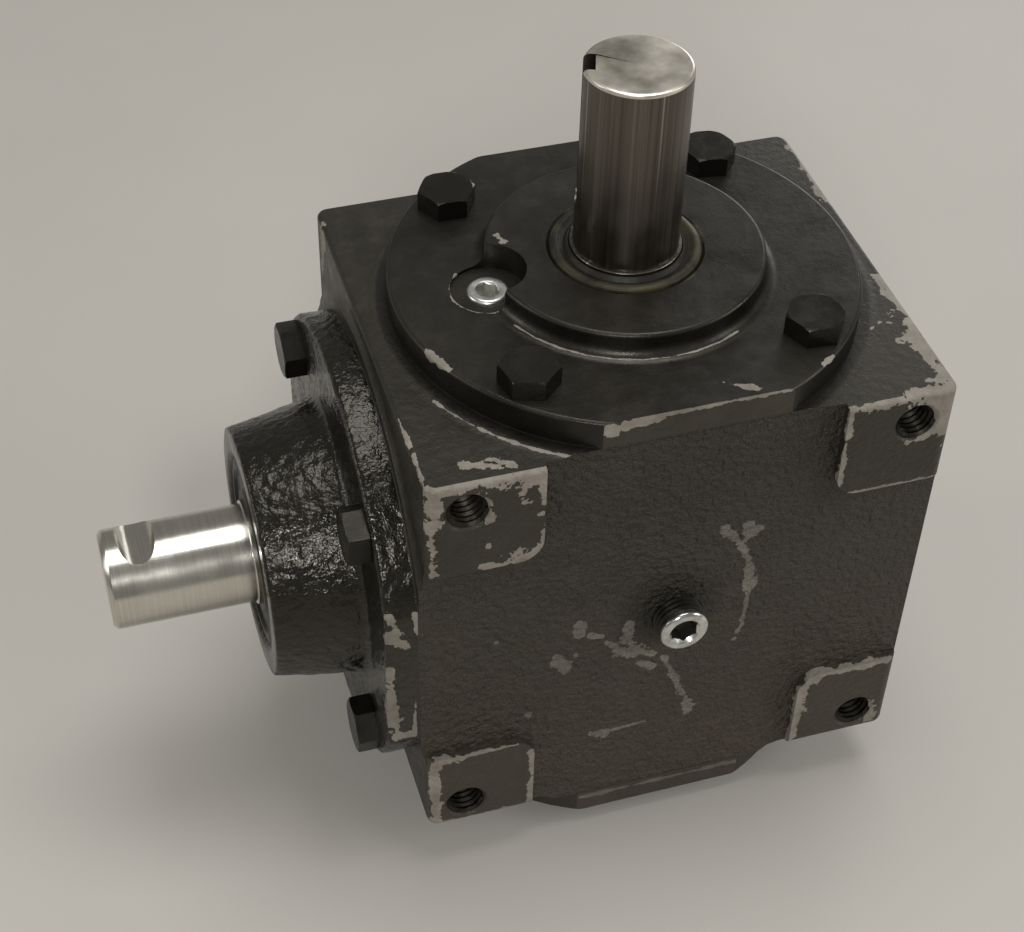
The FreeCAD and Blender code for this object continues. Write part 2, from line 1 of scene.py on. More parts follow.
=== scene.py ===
# %% [markdown]
# # A right angle gear reducer
# This lesson dresses the solids of a bevel gear reducer so that it looks like a used one on a bench.
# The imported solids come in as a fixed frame. Every outer piece is modelled again with rounded edges,
# threads and cast skin, and the pieces inside keep their solids and get a finish of their own.

# %% Load the frame
import json
import math

import bpy
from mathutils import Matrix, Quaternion, Vector


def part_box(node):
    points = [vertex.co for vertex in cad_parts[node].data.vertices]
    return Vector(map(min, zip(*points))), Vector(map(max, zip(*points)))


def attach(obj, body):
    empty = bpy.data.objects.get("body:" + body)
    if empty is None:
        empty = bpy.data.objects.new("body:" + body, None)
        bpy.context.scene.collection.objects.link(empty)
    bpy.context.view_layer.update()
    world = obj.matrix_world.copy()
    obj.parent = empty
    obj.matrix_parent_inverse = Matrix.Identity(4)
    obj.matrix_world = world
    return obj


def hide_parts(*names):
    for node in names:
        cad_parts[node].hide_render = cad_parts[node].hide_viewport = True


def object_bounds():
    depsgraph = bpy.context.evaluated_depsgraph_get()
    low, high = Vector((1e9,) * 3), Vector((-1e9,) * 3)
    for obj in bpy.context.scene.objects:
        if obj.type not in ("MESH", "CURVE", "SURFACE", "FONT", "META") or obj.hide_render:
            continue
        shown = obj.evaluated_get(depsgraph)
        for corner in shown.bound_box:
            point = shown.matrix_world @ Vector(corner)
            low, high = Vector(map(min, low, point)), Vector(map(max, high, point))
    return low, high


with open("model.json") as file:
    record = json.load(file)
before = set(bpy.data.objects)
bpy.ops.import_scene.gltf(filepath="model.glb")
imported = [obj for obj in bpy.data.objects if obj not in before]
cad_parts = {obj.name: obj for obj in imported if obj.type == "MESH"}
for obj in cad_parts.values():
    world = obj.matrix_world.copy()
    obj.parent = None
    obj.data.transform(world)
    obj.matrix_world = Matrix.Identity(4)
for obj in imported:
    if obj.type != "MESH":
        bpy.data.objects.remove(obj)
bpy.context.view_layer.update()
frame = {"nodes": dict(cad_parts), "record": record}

MM = 0.001
mounts = {mount["name"]: mount for mount in frame["record"]["mounts"]}
AXIS_Y = mounts["input_shaft"]["pos_m"][1]
AXIS_Z = mounts["input_shaft"]["pos_m"][2]
print("nodes", len(frame["nodes"]), "axes cross at", round(AXIS_Y, 4), round(AXIS_Z, 4))

# %% [markdown]
# ## Working as by hand
# Blender's operators act on whatever is selected, and a freshly loaded frame is selected all over.
# These small helpers clear the selection, pick one object, and go in and out of edit mode, so the
# later cells read like the steps that a person would take with the mouse.


# %% Selection helpers
def deselect():
    if bpy.context.object and bpy.context.object.mode != "OBJECT":
        bpy.ops.object.mode_set(mode="OBJECT")
    bpy.ops.object.select_all(action="DESELECT")


def pick(piece):
    deselect()
    piece.select_set(True)
    bpy.context.view_layer.objects.active = piece


def open_mesh(piece, kind="VERT"):
    pick(piece)
    bpy.ops.object.mode_set(mode="EDIT")
    bpy.ops.mesh.select_mode(type=kind)


def open_all(piece):
    open_mesh(piece)
    bpy.ops.mesh.select_all(action="SELECT")


def close_mesh():
    bpy.ops.object.mode_set(mode="OBJECT")


deselect()
print("selection cleared")


# %% Naming and placing helpers
def named(name):
    piece = bpy.context.object
    piece.name = name
    piece.data.name = name
    bpy.ops.object.transform_apply(location=True, rotation=True, scale=True)
    return piece


def moved(piece, location, turn=Quaternion()):
    """Turn and move a piece, and keep its new place in its mesh."""
    piece.rotation_mode = "QUATERNION"
    piece.rotation_quaternion = turn
    piece.location = location
    pick(piece)
    bpy.ops.object.transform_apply(location=True, rotation=True, scale=True)


def mm(x, y, z):
    return Vector((x * MM, y * MM, z * MM))


print("a millimetre is", MM, "of Blender's units")

# %% [markdown]
# ## Turned shapes
# Most of the reducer was turned on a lathe or cast round: covers, nose, shafts, seals and plugs. A
# lathe profile is drawn point by point with extrude, as radius and height in millimetres, and spun
# once round the shaft's axis. Spin can leave faces inside out, so doubles are merged and the normals
# recalculated before anything else happens to the mesh.


# %% Places on the two axes
def on_output(radius, height):
    """A place beside the upright axis, in millimetres from where the two axes cross."""
    return Vector((radius * MM, AXIS_Y, AXIS_Z + height * MM))


def below_output(radius, height):
    return on_output(radius, -height)


def on_input(radius, height):
    return Vector((-height * MM, AXIS_Y, AXIS_Z + radius * MM))


print("10 mm up the output axis is", [round(value, 4) for value in on_output(0, 10)])

# %% Lathe
WELD_GAP = 0.002 * MM


def weld(piece):
    open_all(piece)
    bpy.ops.mesh.remove_doubles(threshold=WELD_GAP)
    bpy.ops.mesh.normals_make_consistent(inside=False)
    close_mesh()


def draw_line(name, points):
    """A plane merged to one point and extruded from point to point; edit mode stays open."""
    deselect()
    bpy.ops.mesh.primitive_plane_add(size=MM)
    piece = named(name)
    open_all(piece)
    bpy.ops.mesh.merge(type="CENTER")
    bpy.ops.transform.translate(value=points[0])
    for last, point in zip(points, points[1:]):
        bpy.ops.mesh.extrude_region_move(TRANSFORM_OT_translate={"value": point - last})
    return piece


def lathe(name, profile, place, steps=128):
    centre = place(0, 0)
    axis = (place(0, 1) - centre).normalized()
    piece = draw_line(name, [place(radius, height) for radius, height in profile])
    bpy.ops.mesh.select_all(action="SELECT")
    bpy.ops.mesh.spin(steps=steps, angle=2 * math.pi, center=centre, axis=axis)
    weld(piece)
    print(name, "spun to", len(piece.data.polygons), "faces")
    return piece


# %% Profile helpers
def arc(centre, radius, first, last, steps=6):
    turns = [math.radians(first + (last - first) * step / steps) for step in range(steps + 1)]
    return [(centre[0] + radius * math.cos(turn), centre[1] + radius * math.sin(turn)) for turn in turns]


def dense(profile, gap):
    """The same line with more points, about a gap apart."""
    points = [profile[0]]
    for first, second in zip(profile, profile[1:]):
        length = math.dist(first, second)
        parts = max(1, round(length / gap))
        for part in range(1, parts + 1):
            share = part / parts
            points.append(tuple(a + (b - a) * share for a, b in zip(first, second)))
    return points


print("a quarter round has", len(arc((0, 0), 1, 0, 90)), "points")

# %% [markdown]
# ## Cutting and rounding
# Flats are sawn off with bisect. Holes and notches are cut with Boolean modifiers, each from a
# throw-away cutter. A narrow Bevel modifier then rounds what is left sharp, because no real edge is
# perfectly sharp and it is the rounding that catches the light.

# %% Saw and cutters
LEVEL_ANGLE = 0.5


def saw(piece, point, away):
    open_all(piece)
    bpy.ops.mesh.bisect(plane_co=point, plane_no=away, use_fill=True, clear_outer=True)
    close_mesh()


def saw_flats(piece, half_depth):
    for side in (-1, 1):
        saw(piece, (0, AXIS_Y + side * half_depth * MM, 0), (0, side, 0))


def cylinder(name, radius, start, end, sides=64):
    start = Vector(start)
    run = Vector(end) - start
    deselect()
    bpy.ops.mesh.primitive_cylinder_add(
        vertices=sides, radius=radius * MM, depth=run.length, location=start + run / 2,
        rotation=run.to_track_quat("Z", "Y").to_euler())
    return named(name)


def box(name, low, high):
    low = Vector(low)
    size = Vector(high) - low
    deselect()
    bpy.ops.mesh.primitive_cube_add(size=1, location=low + size / 2)
    bpy.context.object.scale = size
    return named(name)


def joined(pieces):
    pick(pieces[0])
    for piece in pieces[1:]:
        piece.select_set(True)
    if len(pieces) > 1:
        bpy.ops.object.join()
    return bpy.context.object


def merge_flats(piece):
    open_all(piece)
    bpy.ops.mesh.dissolve_limited(angle_limit=math.radians(LEVEL_ANGLE))
    close_mesh()


print("faces within", LEVEL_ANGLE, "degrees count as one flat")

# %% Modifiers that are applied at once
EDGE_FINISH = 1


def use(piece, kind, **settings):
    pick(piece)
    modifier = piece.modifiers.new(kind.lower(), kind)
    for key, value in settings.items():
        setattr(modifier, key, value)
    bpy.ops.object.modifier_apply(modifier=modifier.name)


def carve(piece, cutter, operation="DIFFERENCE"):
    use(piece, "BOOLEAN", operation=operation, object=cutter, solver="EXACT")
    bpy.data.objects.remove(cutter)


def soften(piece, width, segments=2, angle=32, worn=False):
    """Round the sharp edges; worn ones can get a finish of their own."""
    if worn:
        piece.data.materials.append(None)
        piece.data.materials.append(None)
    use(piece, "BEVEL", width=width * MM, segments=segments, limit_method="ANGLE",
        angle_limit=math.radians(angle), use_clamp_overlap=True, material=EDGE_FINISH if worn else -1)


def smooth(piece, angle):
    pick(piece)
    bpy.ops.object.shade_smooth_by_angle(angle=math.radians(angle))


def even_shading(piece, angle=40):
    smooth(piece, angle)
    use(piece, "WEIGHTED_NORMAL", keep_sharp=True, weight=80)


print("rubbed edges take finish", EDGE_FINISH)


# %% [markdown]
# ## Handing a piece over
# A finished piece gets its finish, and perhaps one more for its rubbed edges or for some of its faces.
# It also says which moving body it rides on and which solids it stands for. Those solids are then
# hidden, so that nothing shows twice.


# %% Installing and repainting
def install(piece, body, slot, finish, *nodes, edges=None):
    if not piece.data.materials:
        piece.data.materials.append(None)
    piece.data.materials[0] = finish
    if edges:
        piece.data.materials[EDGE_FINISH] = edges
    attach(piece, body)
    if nodes:
        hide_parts(*nodes)
    print(piece.name, "rides on", body, "with", len(piece.data.polygons), "faces")


def repaint(piece, finish, wanted):
    """Give the wanted faces of an installed piece a finish of their own."""
    piece.data.materials.append(finish)
    chosen = [face for face in piece.data.polygons if wanted(face)]
    for face in chosen:
        face.material_index = len(piece.data.materials) - 1
    print(finish.name, "on", len(chosen), "faces of", piece.name)


# %% [markdown]
# ## Finishes
# The castings wear one coat of satin black paint over rough iron. Where the paint has chipped, a
# grey-beige primer shows, mostly along edges that knock against other things. The chips are drawn
# as a field: every worn edge is a line in space, the field fades away from it, and a ragged noise
# decides where the paint has let go. A mask painted by hand would do too, but a line is moved by
# changing a number. A few lines along rims that catch the light use the primer's colour to paint a
# highlight, not a chip.


# %% Node helpers
def new_finish(name):
    finish = bpy.data.materials.new(name)
    finish.use_nodes = True
    return finish, finish.node_tree, finish.node_tree.nodes["Principled BSDF"]


def node(tree, kind, inputs=(), **settings):
    made = tree.nodes.new("ShaderNode" + kind)
    for key, value in settings.items():
        setattr(made, key, value)
    for key, value in dict(inputs).items():
        if isinstance(value, bpy.types.NodeSocket):
            tree.links.new(value, made.inputs[key])
        else:
            made.inputs[key].default_value = value
    return made


def sums(tree, operation, first, second, third=0.0, clamp=False):
    made = node(tree, "Math", {0: first, 1: second, 2: third}, operation=operation, use_clamp=clamp)
    return made.outputs[0]


def places(tree, scale=(1, 1, 1)):
    spot = node(tree, "TexCoord").outputs["Object"]
    return node(tree, "Mapping", {"Vector": spot, "Scale": scale}).outputs[0]


def noise(tree, spot, scale, detail=3.0, rough=0.55):
    made = node(tree, "TexNoise", {"Vector": spot, "Scale": scale, "Detail": detail, "Roughness": rough})
    return made.outputs["Fac"]


def blend_of(tree, share, first, second):
    made = node(tree, "Mix", data_type="RGBA")
    tree.links.new(share, made.inputs["Factor"])
    for key, value in ((6, first), (7, second)):
        if isinstance(value, bpy.types.NodeSocket):
            tree.links.new(value, made.inputs[key])
        else:
            made.inputs[key].default_value = (*value, 1)
    return made.outputs[2]


def span(tree, value, low, high, to_low=0.0, to_high=1.0, smoothed=False):
    made = node(tree, "MapRange", {"Value": value, "From Min": low, "From Max": high, "To Min": to_low,
                                   "To Max": to_high})
    made.interpolation_type = "SMOOTHSTEP" if smoothed else "LINEAR"
    return made.outputs[0]


def bumped(tree, shader, height, distance):
    made = node(tree, "Bump", {"Height": height, "Strength": 1.0, "Distance": distance})
    tree.links.new(made.outputs[0], shader.inputs["Normal"])


print("node helpers ready")


# %% Chip field
def worn_and_highlight_lines(tree, lines):
    """Field that is 1 on a line of chips or of painted highlight, one half at the edge of its strip and less
    further away.
    """
    spot = node(tree, "TexCoord").outputs["Object"]
    field = -1.0
    for start, end, half_width in lines:
        first = Vector(start) * MM
        run = Vector(end) * MM - first
        way = node(tree, "VectorMath", {0: spot, 1: first}, operation="SUBTRACT").outputs[0]
        along = run / max(run.length_squared, 1e-9)
        share = node(tree, "VectorMath", {0: way, 1: along}, operation="DOT_PRODUCT").outputs["Value"]
        share = sums(tree, "MULTIPLY", share, 1.0, clamp=True)
        foot = node(tree, "VectorMath", {0: run, "Scale": share}, operation="SCALE").outputs[0]
        distance = node(tree, "VectorMath", {0: way, 1: foot}, operation="DISTANCE").outputs["Value"]
        close = sums(tree, "MULTIPLY_ADD", distance, -0.5 / (half_width * MM), 1.0)
        field = sums(tree, "MAXIMUM", close, field)
    return field


def chips_and_highlights_where(tree, spot, lines, ragged):
    """1 where the paint has let go, and where a highlight is painted, with edges torn by coarse, middle and
    fine noise.
    """
    field = worn_and_highlight_lines(tree, lines)
    for scale, weight in ((95, 1.5 * ragged), (280, 1.9 * ragged), (1100, 0.8)):
        torn = sums(tree, "SUBTRACT", noise(tree, spot, scale, 2, 0.5), 0.5)
        field = sums(tree, "MULTIPLY_ADD", torn, weight, field)
    return span(tree, field, 0.475, 0.525, smoothed=True)


print("chips can be drawn")

# %% [markdown]
# ### Dust, grime, grease and painted shade
# A used casting is never one black. Dust lies on it in a thin film, and grime gathers low on the walls,
# where its paler, browner tone also paints the light bounced up from the floor. A painted shadow
# darkens the ring beside the top cover, grease creeps out at the seal, and a painted shadow darkens
# the front round the level plug. Each is one more colour blended over the paint, by height, by the
# distance from the upright axis or by the distance from a point. Upright sides can be blacker, as
# painted shade.

# %% Colours of the paint and of what lies on it
DARK_BLACK = Vector((0.0155, 0.014, 0.0108))
LIGHT_BLACK = Vector((0.026, 0.0234, 0.0186))
# Near black for painted shade on upright sides and in the ring beside the top cover.
SHADE_BLACK = (0.004, 0.0035, 0.0028)
EDGE_BLACK = (0.024, 0.022, 0.018)
# The primer's colours, which also paint a few highlights.
DARK_PRIMER_AND_HIGHLIGHT = Vector((0.165, 0.148, 0.122))
LIGHT_PRIMER_AND_HIGHLIGHT = Vector((0.275, 0.25, 0.212))
DUST = Vector((0.06, 0.053, 0.043))
# Paler brown for grime low down, which also paints light bounced up from the floor.
GRIME_AND_BOUNCE = (0.07, 0.055, 0.04)
GREASE = (0.068, 0.058, 0.032)
# Near black for the painted shadow round the level plug.
PLUG_SHADOW = (0.005, 0.0044, 0.0035)
WARM_GLOSS = (1.0, 0.93, 0.82, 1)
print("the paint is mixed from", len((DARK_BLACK, LIGHT_BLACK, DUST)), "tones")

# %% Dirt, and painted light and shade, on the paint
GRIME_AND_BOUNCE_LEVELS = (0.045, -0.05)
# Where the painted shadow in the ring beside the top cover lies.
SHADOW_RING = (0.0602, 0.0594)
SHADOW_LEVELS = (0.0614, 0.0617)
GREASE_RING = (0.0231, 0.0226)
GREASE_LEVELS = (0.0750, 0.0754)
PLUG_SHADOW_REACH = (0.0155, 0.0065)


def from_output_axis(tree, spot):
    flat = node(tree, "VectorMath", {0: spot, 1: (0, AXIS_Y, 0)}, operation="SUBTRACT").outputs[0]
    flat = node(tree, "VectorMath", {0: flat, 1: (1, 1, 0)}, operation="MULTIPLY").outputs[0]
    return node(tree, "VectorMath", {0: flat}, operation="LENGTH").outputs["Value"]


# Grime low on the walls: the paler, browner tone towards the bottom is dirt, and also painted light bounced
# up from the floor.
def grime_and_bounce_below(tree, paint, film, level, grime_and_bounce):
    low = span(tree, level, *GRIME_AND_BOUNCE_LEVELS, 0.2 * grime_and_bounce, 1.15 * grime_and_bounce)
    patchy = span(tree, film, 0.25, 0.75, 0.4, 1.0)
    return blend_of(tree, sums(tree, "MULTIPLY", low, patchy), paint, GRIME_AND_BOUNCE)


# Painted shade: upright sides are blended towards near black, as if they stood in shadow.
def shade_on_walls(tree, paint, walls):
    normal = node(tree, "TexCoord").outputs["Normal"]
    rise = node(tree, "SeparateXYZ", {0: normal}).outputs["Z"]
    steep = span(tree, sums(tree, "ABSOLUTE", rise, 0), 0.6, 0.25, 0.0, walls)
    return blend_of(tree, steep, paint, SHADE_BLACK)


# Painted shadow: a near-black ring on the housing's seat beside the top cover, which the cover shades.
def shadow_ring_beside_cover(tree, paint, spot, level):
    ring = span(tree, from_output_axis(tree, spot), *SHADOW_RING)
    top = span(tree, level, *SHADOW_LEVELS)
    return blend_of(tree, sums(tree, "MULTIPLY", ring, top), paint, SHADE_BLACK)


def greasy_ring(tree, paint, spot, level):
    creep = sums(tree, "MULTIPLY_ADD", noise(tree, spot, 90, 3), 0.009, from_output_axis(tree, spot))
    ring = span(tree, creep, *GREASE_RING, 0.0, 0.85)
    top = span(tree, level, *GREASE_LEVELS)
    return blend_of(tree, sums(tree, "MULTIPLY", ring, top), paint, GREASE)


# Painted shadow: the front is blended towards near black round the level plug, standing in for the plug's
# shadow.
def shadow_round_plug(tree, paint, spot, middle):
    away = node(tree, "VectorMath", {0: spot, 1: middle}, operation="DISTANCE").outputs["Value"]
    return blend_of(tree, span(tree, away, *PLUG_SHADOW_REACH, 0.0, 0.88), paint, PLUG_SHADOW)


# The reach printed here is that of the painted shadow round the level plug.
print("the oil stain reaches", PLUG_SHADOW_REACH[0] / MM, "mm")

# %% Black paint
PAINT_BUMP = 0.0003


def black_paint(name, lines=(), lump=0.00022, lump_scale=700, grain=0.00006, gloss=0.42, dust=0.45,
                tone=1.0, grime_and_bounce=0.0, bare=1.0, ragged=1.0, shine=0.4, walls=0.0, gap=False, grease=False,
                plug_shadow_middle=None):
    """Satin black on cast iron, worn to an undercoat along lines; a few of the lines paint highlights
    instead.

    lump, lump_scale and grain shape the skin. gloss, shine and tone say how it takes the light, bare how
    pale the undercoat is and ragged how torn a chip's edge is. dust and grease are dirt on it.
    grime_and_bounce is a paler, browner tone low down: dirt, and also painted light bounced up from the
    floor. walls paints shade on upright sides, gap a shadow in the ring beside the top cover, and
    plug_shadow_middle is the middle of a painted shadow round the level plug.
    """
    finish, tree, shader = new_finish(name)
    spot = places(tree)
    level = node(tree, "SeparateXYZ", {0: spot}).outputs["Z"]
    broad = noise(tree, spot, 38, 4)
    fine = noise(tree, spot, 2200, 3, 0.6)
    lumps = noise(tree, spot, lump_scale, 3, 0.6)
    film = noise(tree, spot, 130, 6, 0.7)
    paint = blend_of(tree, span(tree, broad, 0.3, 0.7), DARK_BLACK * tone, LIGHT_BLACK * tone)
    paint = blend_of(tree, span(tree, film, 0.5, 0.8, 0.0, dust), paint, DUST * tone)
    if grime_and_bounce:
        paint = grime_and_bounce_below(tree, paint, film, level, grime_and_bounce)
    if walls:
        paint = shade_on_walls(tree, paint, walls)
    if gap:
        paint = shadow_ring_beside_cover(tree, paint, spot, level)
    if grease:
        paint = greasy_ring(tree, paint, spot, level)
    if plug_shadow_middle:
        paint = shadow_round_plug(tree, paint, spot, plug_shadow_middle)
    grains = sums(tree, "MULTIPLY", fine, grain / PAINT_BUMP)
    height = sums(tree, "MULTIPLY_ADD", lumps, lump / PAINT_BUMP, grains)
    rough = span(tree, film, 0.3, 0.7, gloss - 0.1, gloss + 0.12)
    if lines:
        chips_and_highlights = chips_and_highlights_where(tree, spot, lines, ragged)
        primer_and_highlight = blend_of(tree, span(tree, film, 0.35, 0.65), DARK_PRIMER_AND_HIGHLIGHT * bare, LIGHT_PRIMER_AND_HIGHLIGHT * bare)
        paint = blend_of(tree, chips_and_highlights, paint, primer_and_highlight)
        rough = sums(tree, "MULTIPLY_ADD", chips_and_highlights, 0.12, rough)
    tree.links.new(paint, shader.inputs["Base Color"])
    tree.links.new(rough, shader.inputs["Roughness"])
    shader.inputs["Specular IOR Level"].default_value = shine
    shader.inputs["Specular Tint"].default_value = WARM_GLOSS
    bumped(tree, shader, height, PAINT_BUMP)
    print(name, "has", len(tree.nodes), "nodes")
    return finish


# %% [markdown]
# ### Rubbed edges and bare steel
# The narrow faces that a bevel leaves get their own finish, which is rubbed through to the metal in
# places. Machined steel has fine tool lines: a noise that is squeezed across them and stretched along
# them gives these, and a slower noise stains the steel.


# %% Rubbed edges
def worn_edge(name, bare, cover):
    """Paint on a sharp edge, rubbed through to the metal in places; cover is how much is left."""
    finish, tree, shader = new_finish(name)
    spot = places(tree)
    broad = noise(tree, spot, 150, 3)
    fine = sums(tree, "MULTIPLY", noise(tree, spot, 900, 3), 0.4)
    rubbed = span(tree, sums(tree, "ADD", broad, fine), cover + 0.2, cover + 0.27, smoothed=True)
    tree.links.new(blend_of(tree, rubbed, EDGE_BLACK, bare), shader.inputs["Base Color"])
    tree.links.new(sums(tree, "MULTIPLY", rubbed, 0.7), shader.inputs["Metallic"])
    shader.inputs["Roughness"].default_value = 0.34
    print(name, "has", len(tree.nodes), "nodes")
    return finish


# %% Bare metal
def bare_metal(name, dark, light, roughness, streak_scale, spread=0.12, scratch=0.00001, stained=0.3,
               scored=None):
    """Machined steel: fine tool lines in one direction, a few slow stains and perhaps bright scores."""
    finish, tree, shader = new_finish(name)
    lines = noise(tree, places(tree, streak_scale), 1.0, 3, 0.65)
    stains = noise(tree, places(tree), 90, 5, 0.6)
    tone = sums(tree, "MULTIPLY_ADD", lines, 1 - stained, sums(tree, "MULTIPLY", stains, stained))
    steel = blend_of(tree, span(tree, tone, 0.34, 0.66), dark, light)
    if scored:
        score = noise(tree, places(tree, [value * 0.6 for value in streak_scale]), 1.0, 1, 0.4)
        steel = blend_of(tree, span(tree, score, 0.64, 0.7), steel, scored)
    tree.links.new(steel, shader.inputs["Base Color"])
    tree.links.new(span(tree, stains, 0.3, 0.7, roughness - spread / 2, roughness + spread),
                   shader.inputs["Roughness"])
    shader.inputs["Metallic"].default_value = 1.0
    bumped(tree, shader, lines, scratch)
    print(name, "has", len(tree.nodes), "nodes")
    return finish


# %% [markdown]
# ## The housing
# The housing is a cast block with machined faces. Four pads stand 2.4 mm proud of the front, each with
# its inner corner rounded, and low round seats carry the covers. A cube is the start: its edges are
# bevelled in edit mode, the front is cut back between the pads, the seats are added, and the cored
# chamber and the tapped holes are cut out of it.

# %% Housing sizes
housing_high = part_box("housing")[1]
HALF_WIDTH = housing_high.x / MM
BACK = housing_high.y / MM
PAD_HEIGHT = 2.4
PAD = 28.0
PAD_CORNER = 6.0
TOP = 61.3
BOTTOM = -61.3
CAST_EDGE = 3.0
TOP_EDGE = 1.2
HALF_DEPTH = AXIS_Y / MM - PAD_HEIGHT
COVER_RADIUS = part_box("output_cover")[1].x / MM
BORE_RADIUS = 41.287
hole_dims = mounts["mounting_pads"]["dims"]
HOLE_X = hole_dims["spacing_x_mm"] / 2
HOLE_Z = hole_dims["spacing_y_mm"] / 2
print("housing", round(2 * HALF_WIDTH, 2), "wide,", round(BACK, 2), "deep")


# %% Housing block
def bevel_edges(piece, offset, segments, wanted):
    open_mesh(piece, "EDGE")
    bpy.ops.mesh.select_all(action="DESELECT")
    close_mesh()
    points = piece.data.vertices
    for edge in piece.data.edges:
        first, second = (points[i].co / MM for i in edge.vertices)
        edge.select = wanted(first, second)
    open_mesh(piece, "EDGE")
    bpy.ops.mesh.bevel(offset=offset * MM, segments=segments, affect="EDGES")
    close_mesh()


def near(first, second, slack=0.01):
    return abs(first - second) < slack


housing = box("housing_casting", mm(-HALF_WIDTH, 0, BOTTOM), mm(HALF_WIDTH, BACK, TOP))
bevel_edges(housing, CAST_EDGE, 6, lambda a, b: not (near(a.z, TOP) and near(b.z, TOP)))
bevel_edges(housing, TOP_EDGE, 4, lambda a, b: near(a.z, TOP) and near(b.z, TOP))
weld(housing)
print("block with", len(housing.data.polygons), "faces")


# %% Front recess between the pads
def pad_blank(side, end):
    inner_x = side * (HALF_WIDTH - PAD)
    inner_z = end * (TOP - PAD)
    low = mm(min(inner_x, inner_x + side * 2 * PAD), -4, min(inner_z, inner_z + end * 2 * PAD))
    high = mm(max(inner_x, inner_x + side * 2 * PAD), 4, max(inner_z, inner_z + end * 2 * PAD))
    blank = box("pad_blank", low, high)
    bevel_edges(blank, PAD_CORNER, 8, lambda a, b: near(a.x, inner_x) and near(b.x, inner_x)
                and near(a.z, inner_z) and near(b.z, inner_z))
    return blank


pad_blanks = joined([pad_blank(side, end) for side in (-1, 1) for end in (-1, 1)])
recess = box("recess", mm(-90, -2, -90), mm(90, PAD_HEIGHT, 90))
carve(recess, pad_blanks)
carve(housing, recess)
print("recessed front:", len(housing.data.polygons), "faces")


# %% Round seats for the covers
SEAT_RADIUS = COVER_RADIUS + 2.8
TOP_SEAT = (64.0, 64.6)
BOTTOM_SEAT = (58.6, 61.1)
SIDE_SEAT = (HALF_WIDTH, HALF_WIDTH + 1.2)


def seat(place, low, high):
    knee = low + 0.25 * (high - low)
    profile = [(0, low - 3), (SEAT_RADIUS + 3.2, low - 3), (SEAT_RADIUS + 2.6, low),
               (SEAT_RADIUS + 1.1, knee), (SEAT_RADIUS, high), (0, high)]
    made = lathe("seat", profile, place, 160)
    saw_flats(made, HALF_DEPTH - 0.02)
    merge_flats(made)
    return made


carve(housing, seat(on_output, *TOP_SEAT), "UNION")
carve(housing, seat(below_output, *BOTTOM_SEAT), "UNION")
side_seat = seat(on_input, *SIDE_SEAT)
saw(side_seat, mm(0, 0, BOTTOM + 0.4), (0, 0, -1))
carve(housing, side_seat, "UNION")
print("seats joined:", len(housing.data.polygons), "faces")

# %% Chamber and bores
WALL = 10
BORED_WALL = 15
chamber = box("chamber", mm(-HALF_WIDTH + BORED_WALL, PAD_HEIGHT + WALL, BOTTOM + BORED_WALL),
              mm(HALF_WIDTH - WALL, BACK - WALL, TOP - BORED_WALL))
bevel_edges(chamber, 9.0, 5, lambda a, b: near(a.x, b.x) and near(a.y, b.y))
carve(housing, chamber)
carve(housing, cylinder("bore", BORE_RADIUS, on_output(0, -70), on_output(0, 70), 128))
carve(housing, cylinder("bore", BORE_RADIUS, on_input(0, 0), on_input(0, 70), 128))
print("cored and bored:", len(housing.data.polygons), "faces")

# %% Tapped holes
THREAD_RADIUS = 4.76
HOLE_DEPTH = 20
LEVEL_HOLE = 6.62


def tapped_hole(x, z):
    profile = [(0, -1), (6.7, -1), (THREAD_RADIUS, 0.95), (THREAD_RADIUS, HOLE_DEPTH), (0, HOLE_DEPTH + 2)]
    return lathe("drill", profile, lambda radius, depth: mm(x + radius, depth, z), 48)


pad_places = [(side * HOLE_X, end * HOLE_Z) for side in (-1, 1) for end in (-1, 1)]
for x, z in pad_places:
    carve(housing, tapped_hole(x, z))
carve(housing, cylinder("plug_hole", LEVEL_HOLE, mm(0, 0, 0), mm(0, 20, 0), 64))
soften(housing, 0.5, 3, 34, worn=True)
even_shading(housing)
print("housing done with", len(housing.data.polygons), "faces")

# %% [markdown]
# ### Where the housing's paint has chipped
# The paint is gone along the borders of the pads, along the right-hand top edge and its front corner,
# and in a few scuffs across the front face. Each strip below gives half its width and the places of its
# two ends, in millimetres on the plane that it lies on.
#
# Every strip adds a handful of nodes, and a finish with too many of them renders as plain black. So the
# block, its front face and its pads have a paint each, and each paint holds only its own strips.


# %% Chips on the pads
def chips_on(plane, strips):
    """Strips of bare primer on one plane: a half width and the two ends of each."""
    return [(plane(*start), plane(*end), half_width) for half_width, start, end in strips]


def strips_along(points, half_width):
    """One narrow strip that runs on from point to point."""
    return [(start, end, half_width) for start, end in zip(points, points[1:])]


def front(x, z):
    return x, PAD_HEIGHT, z


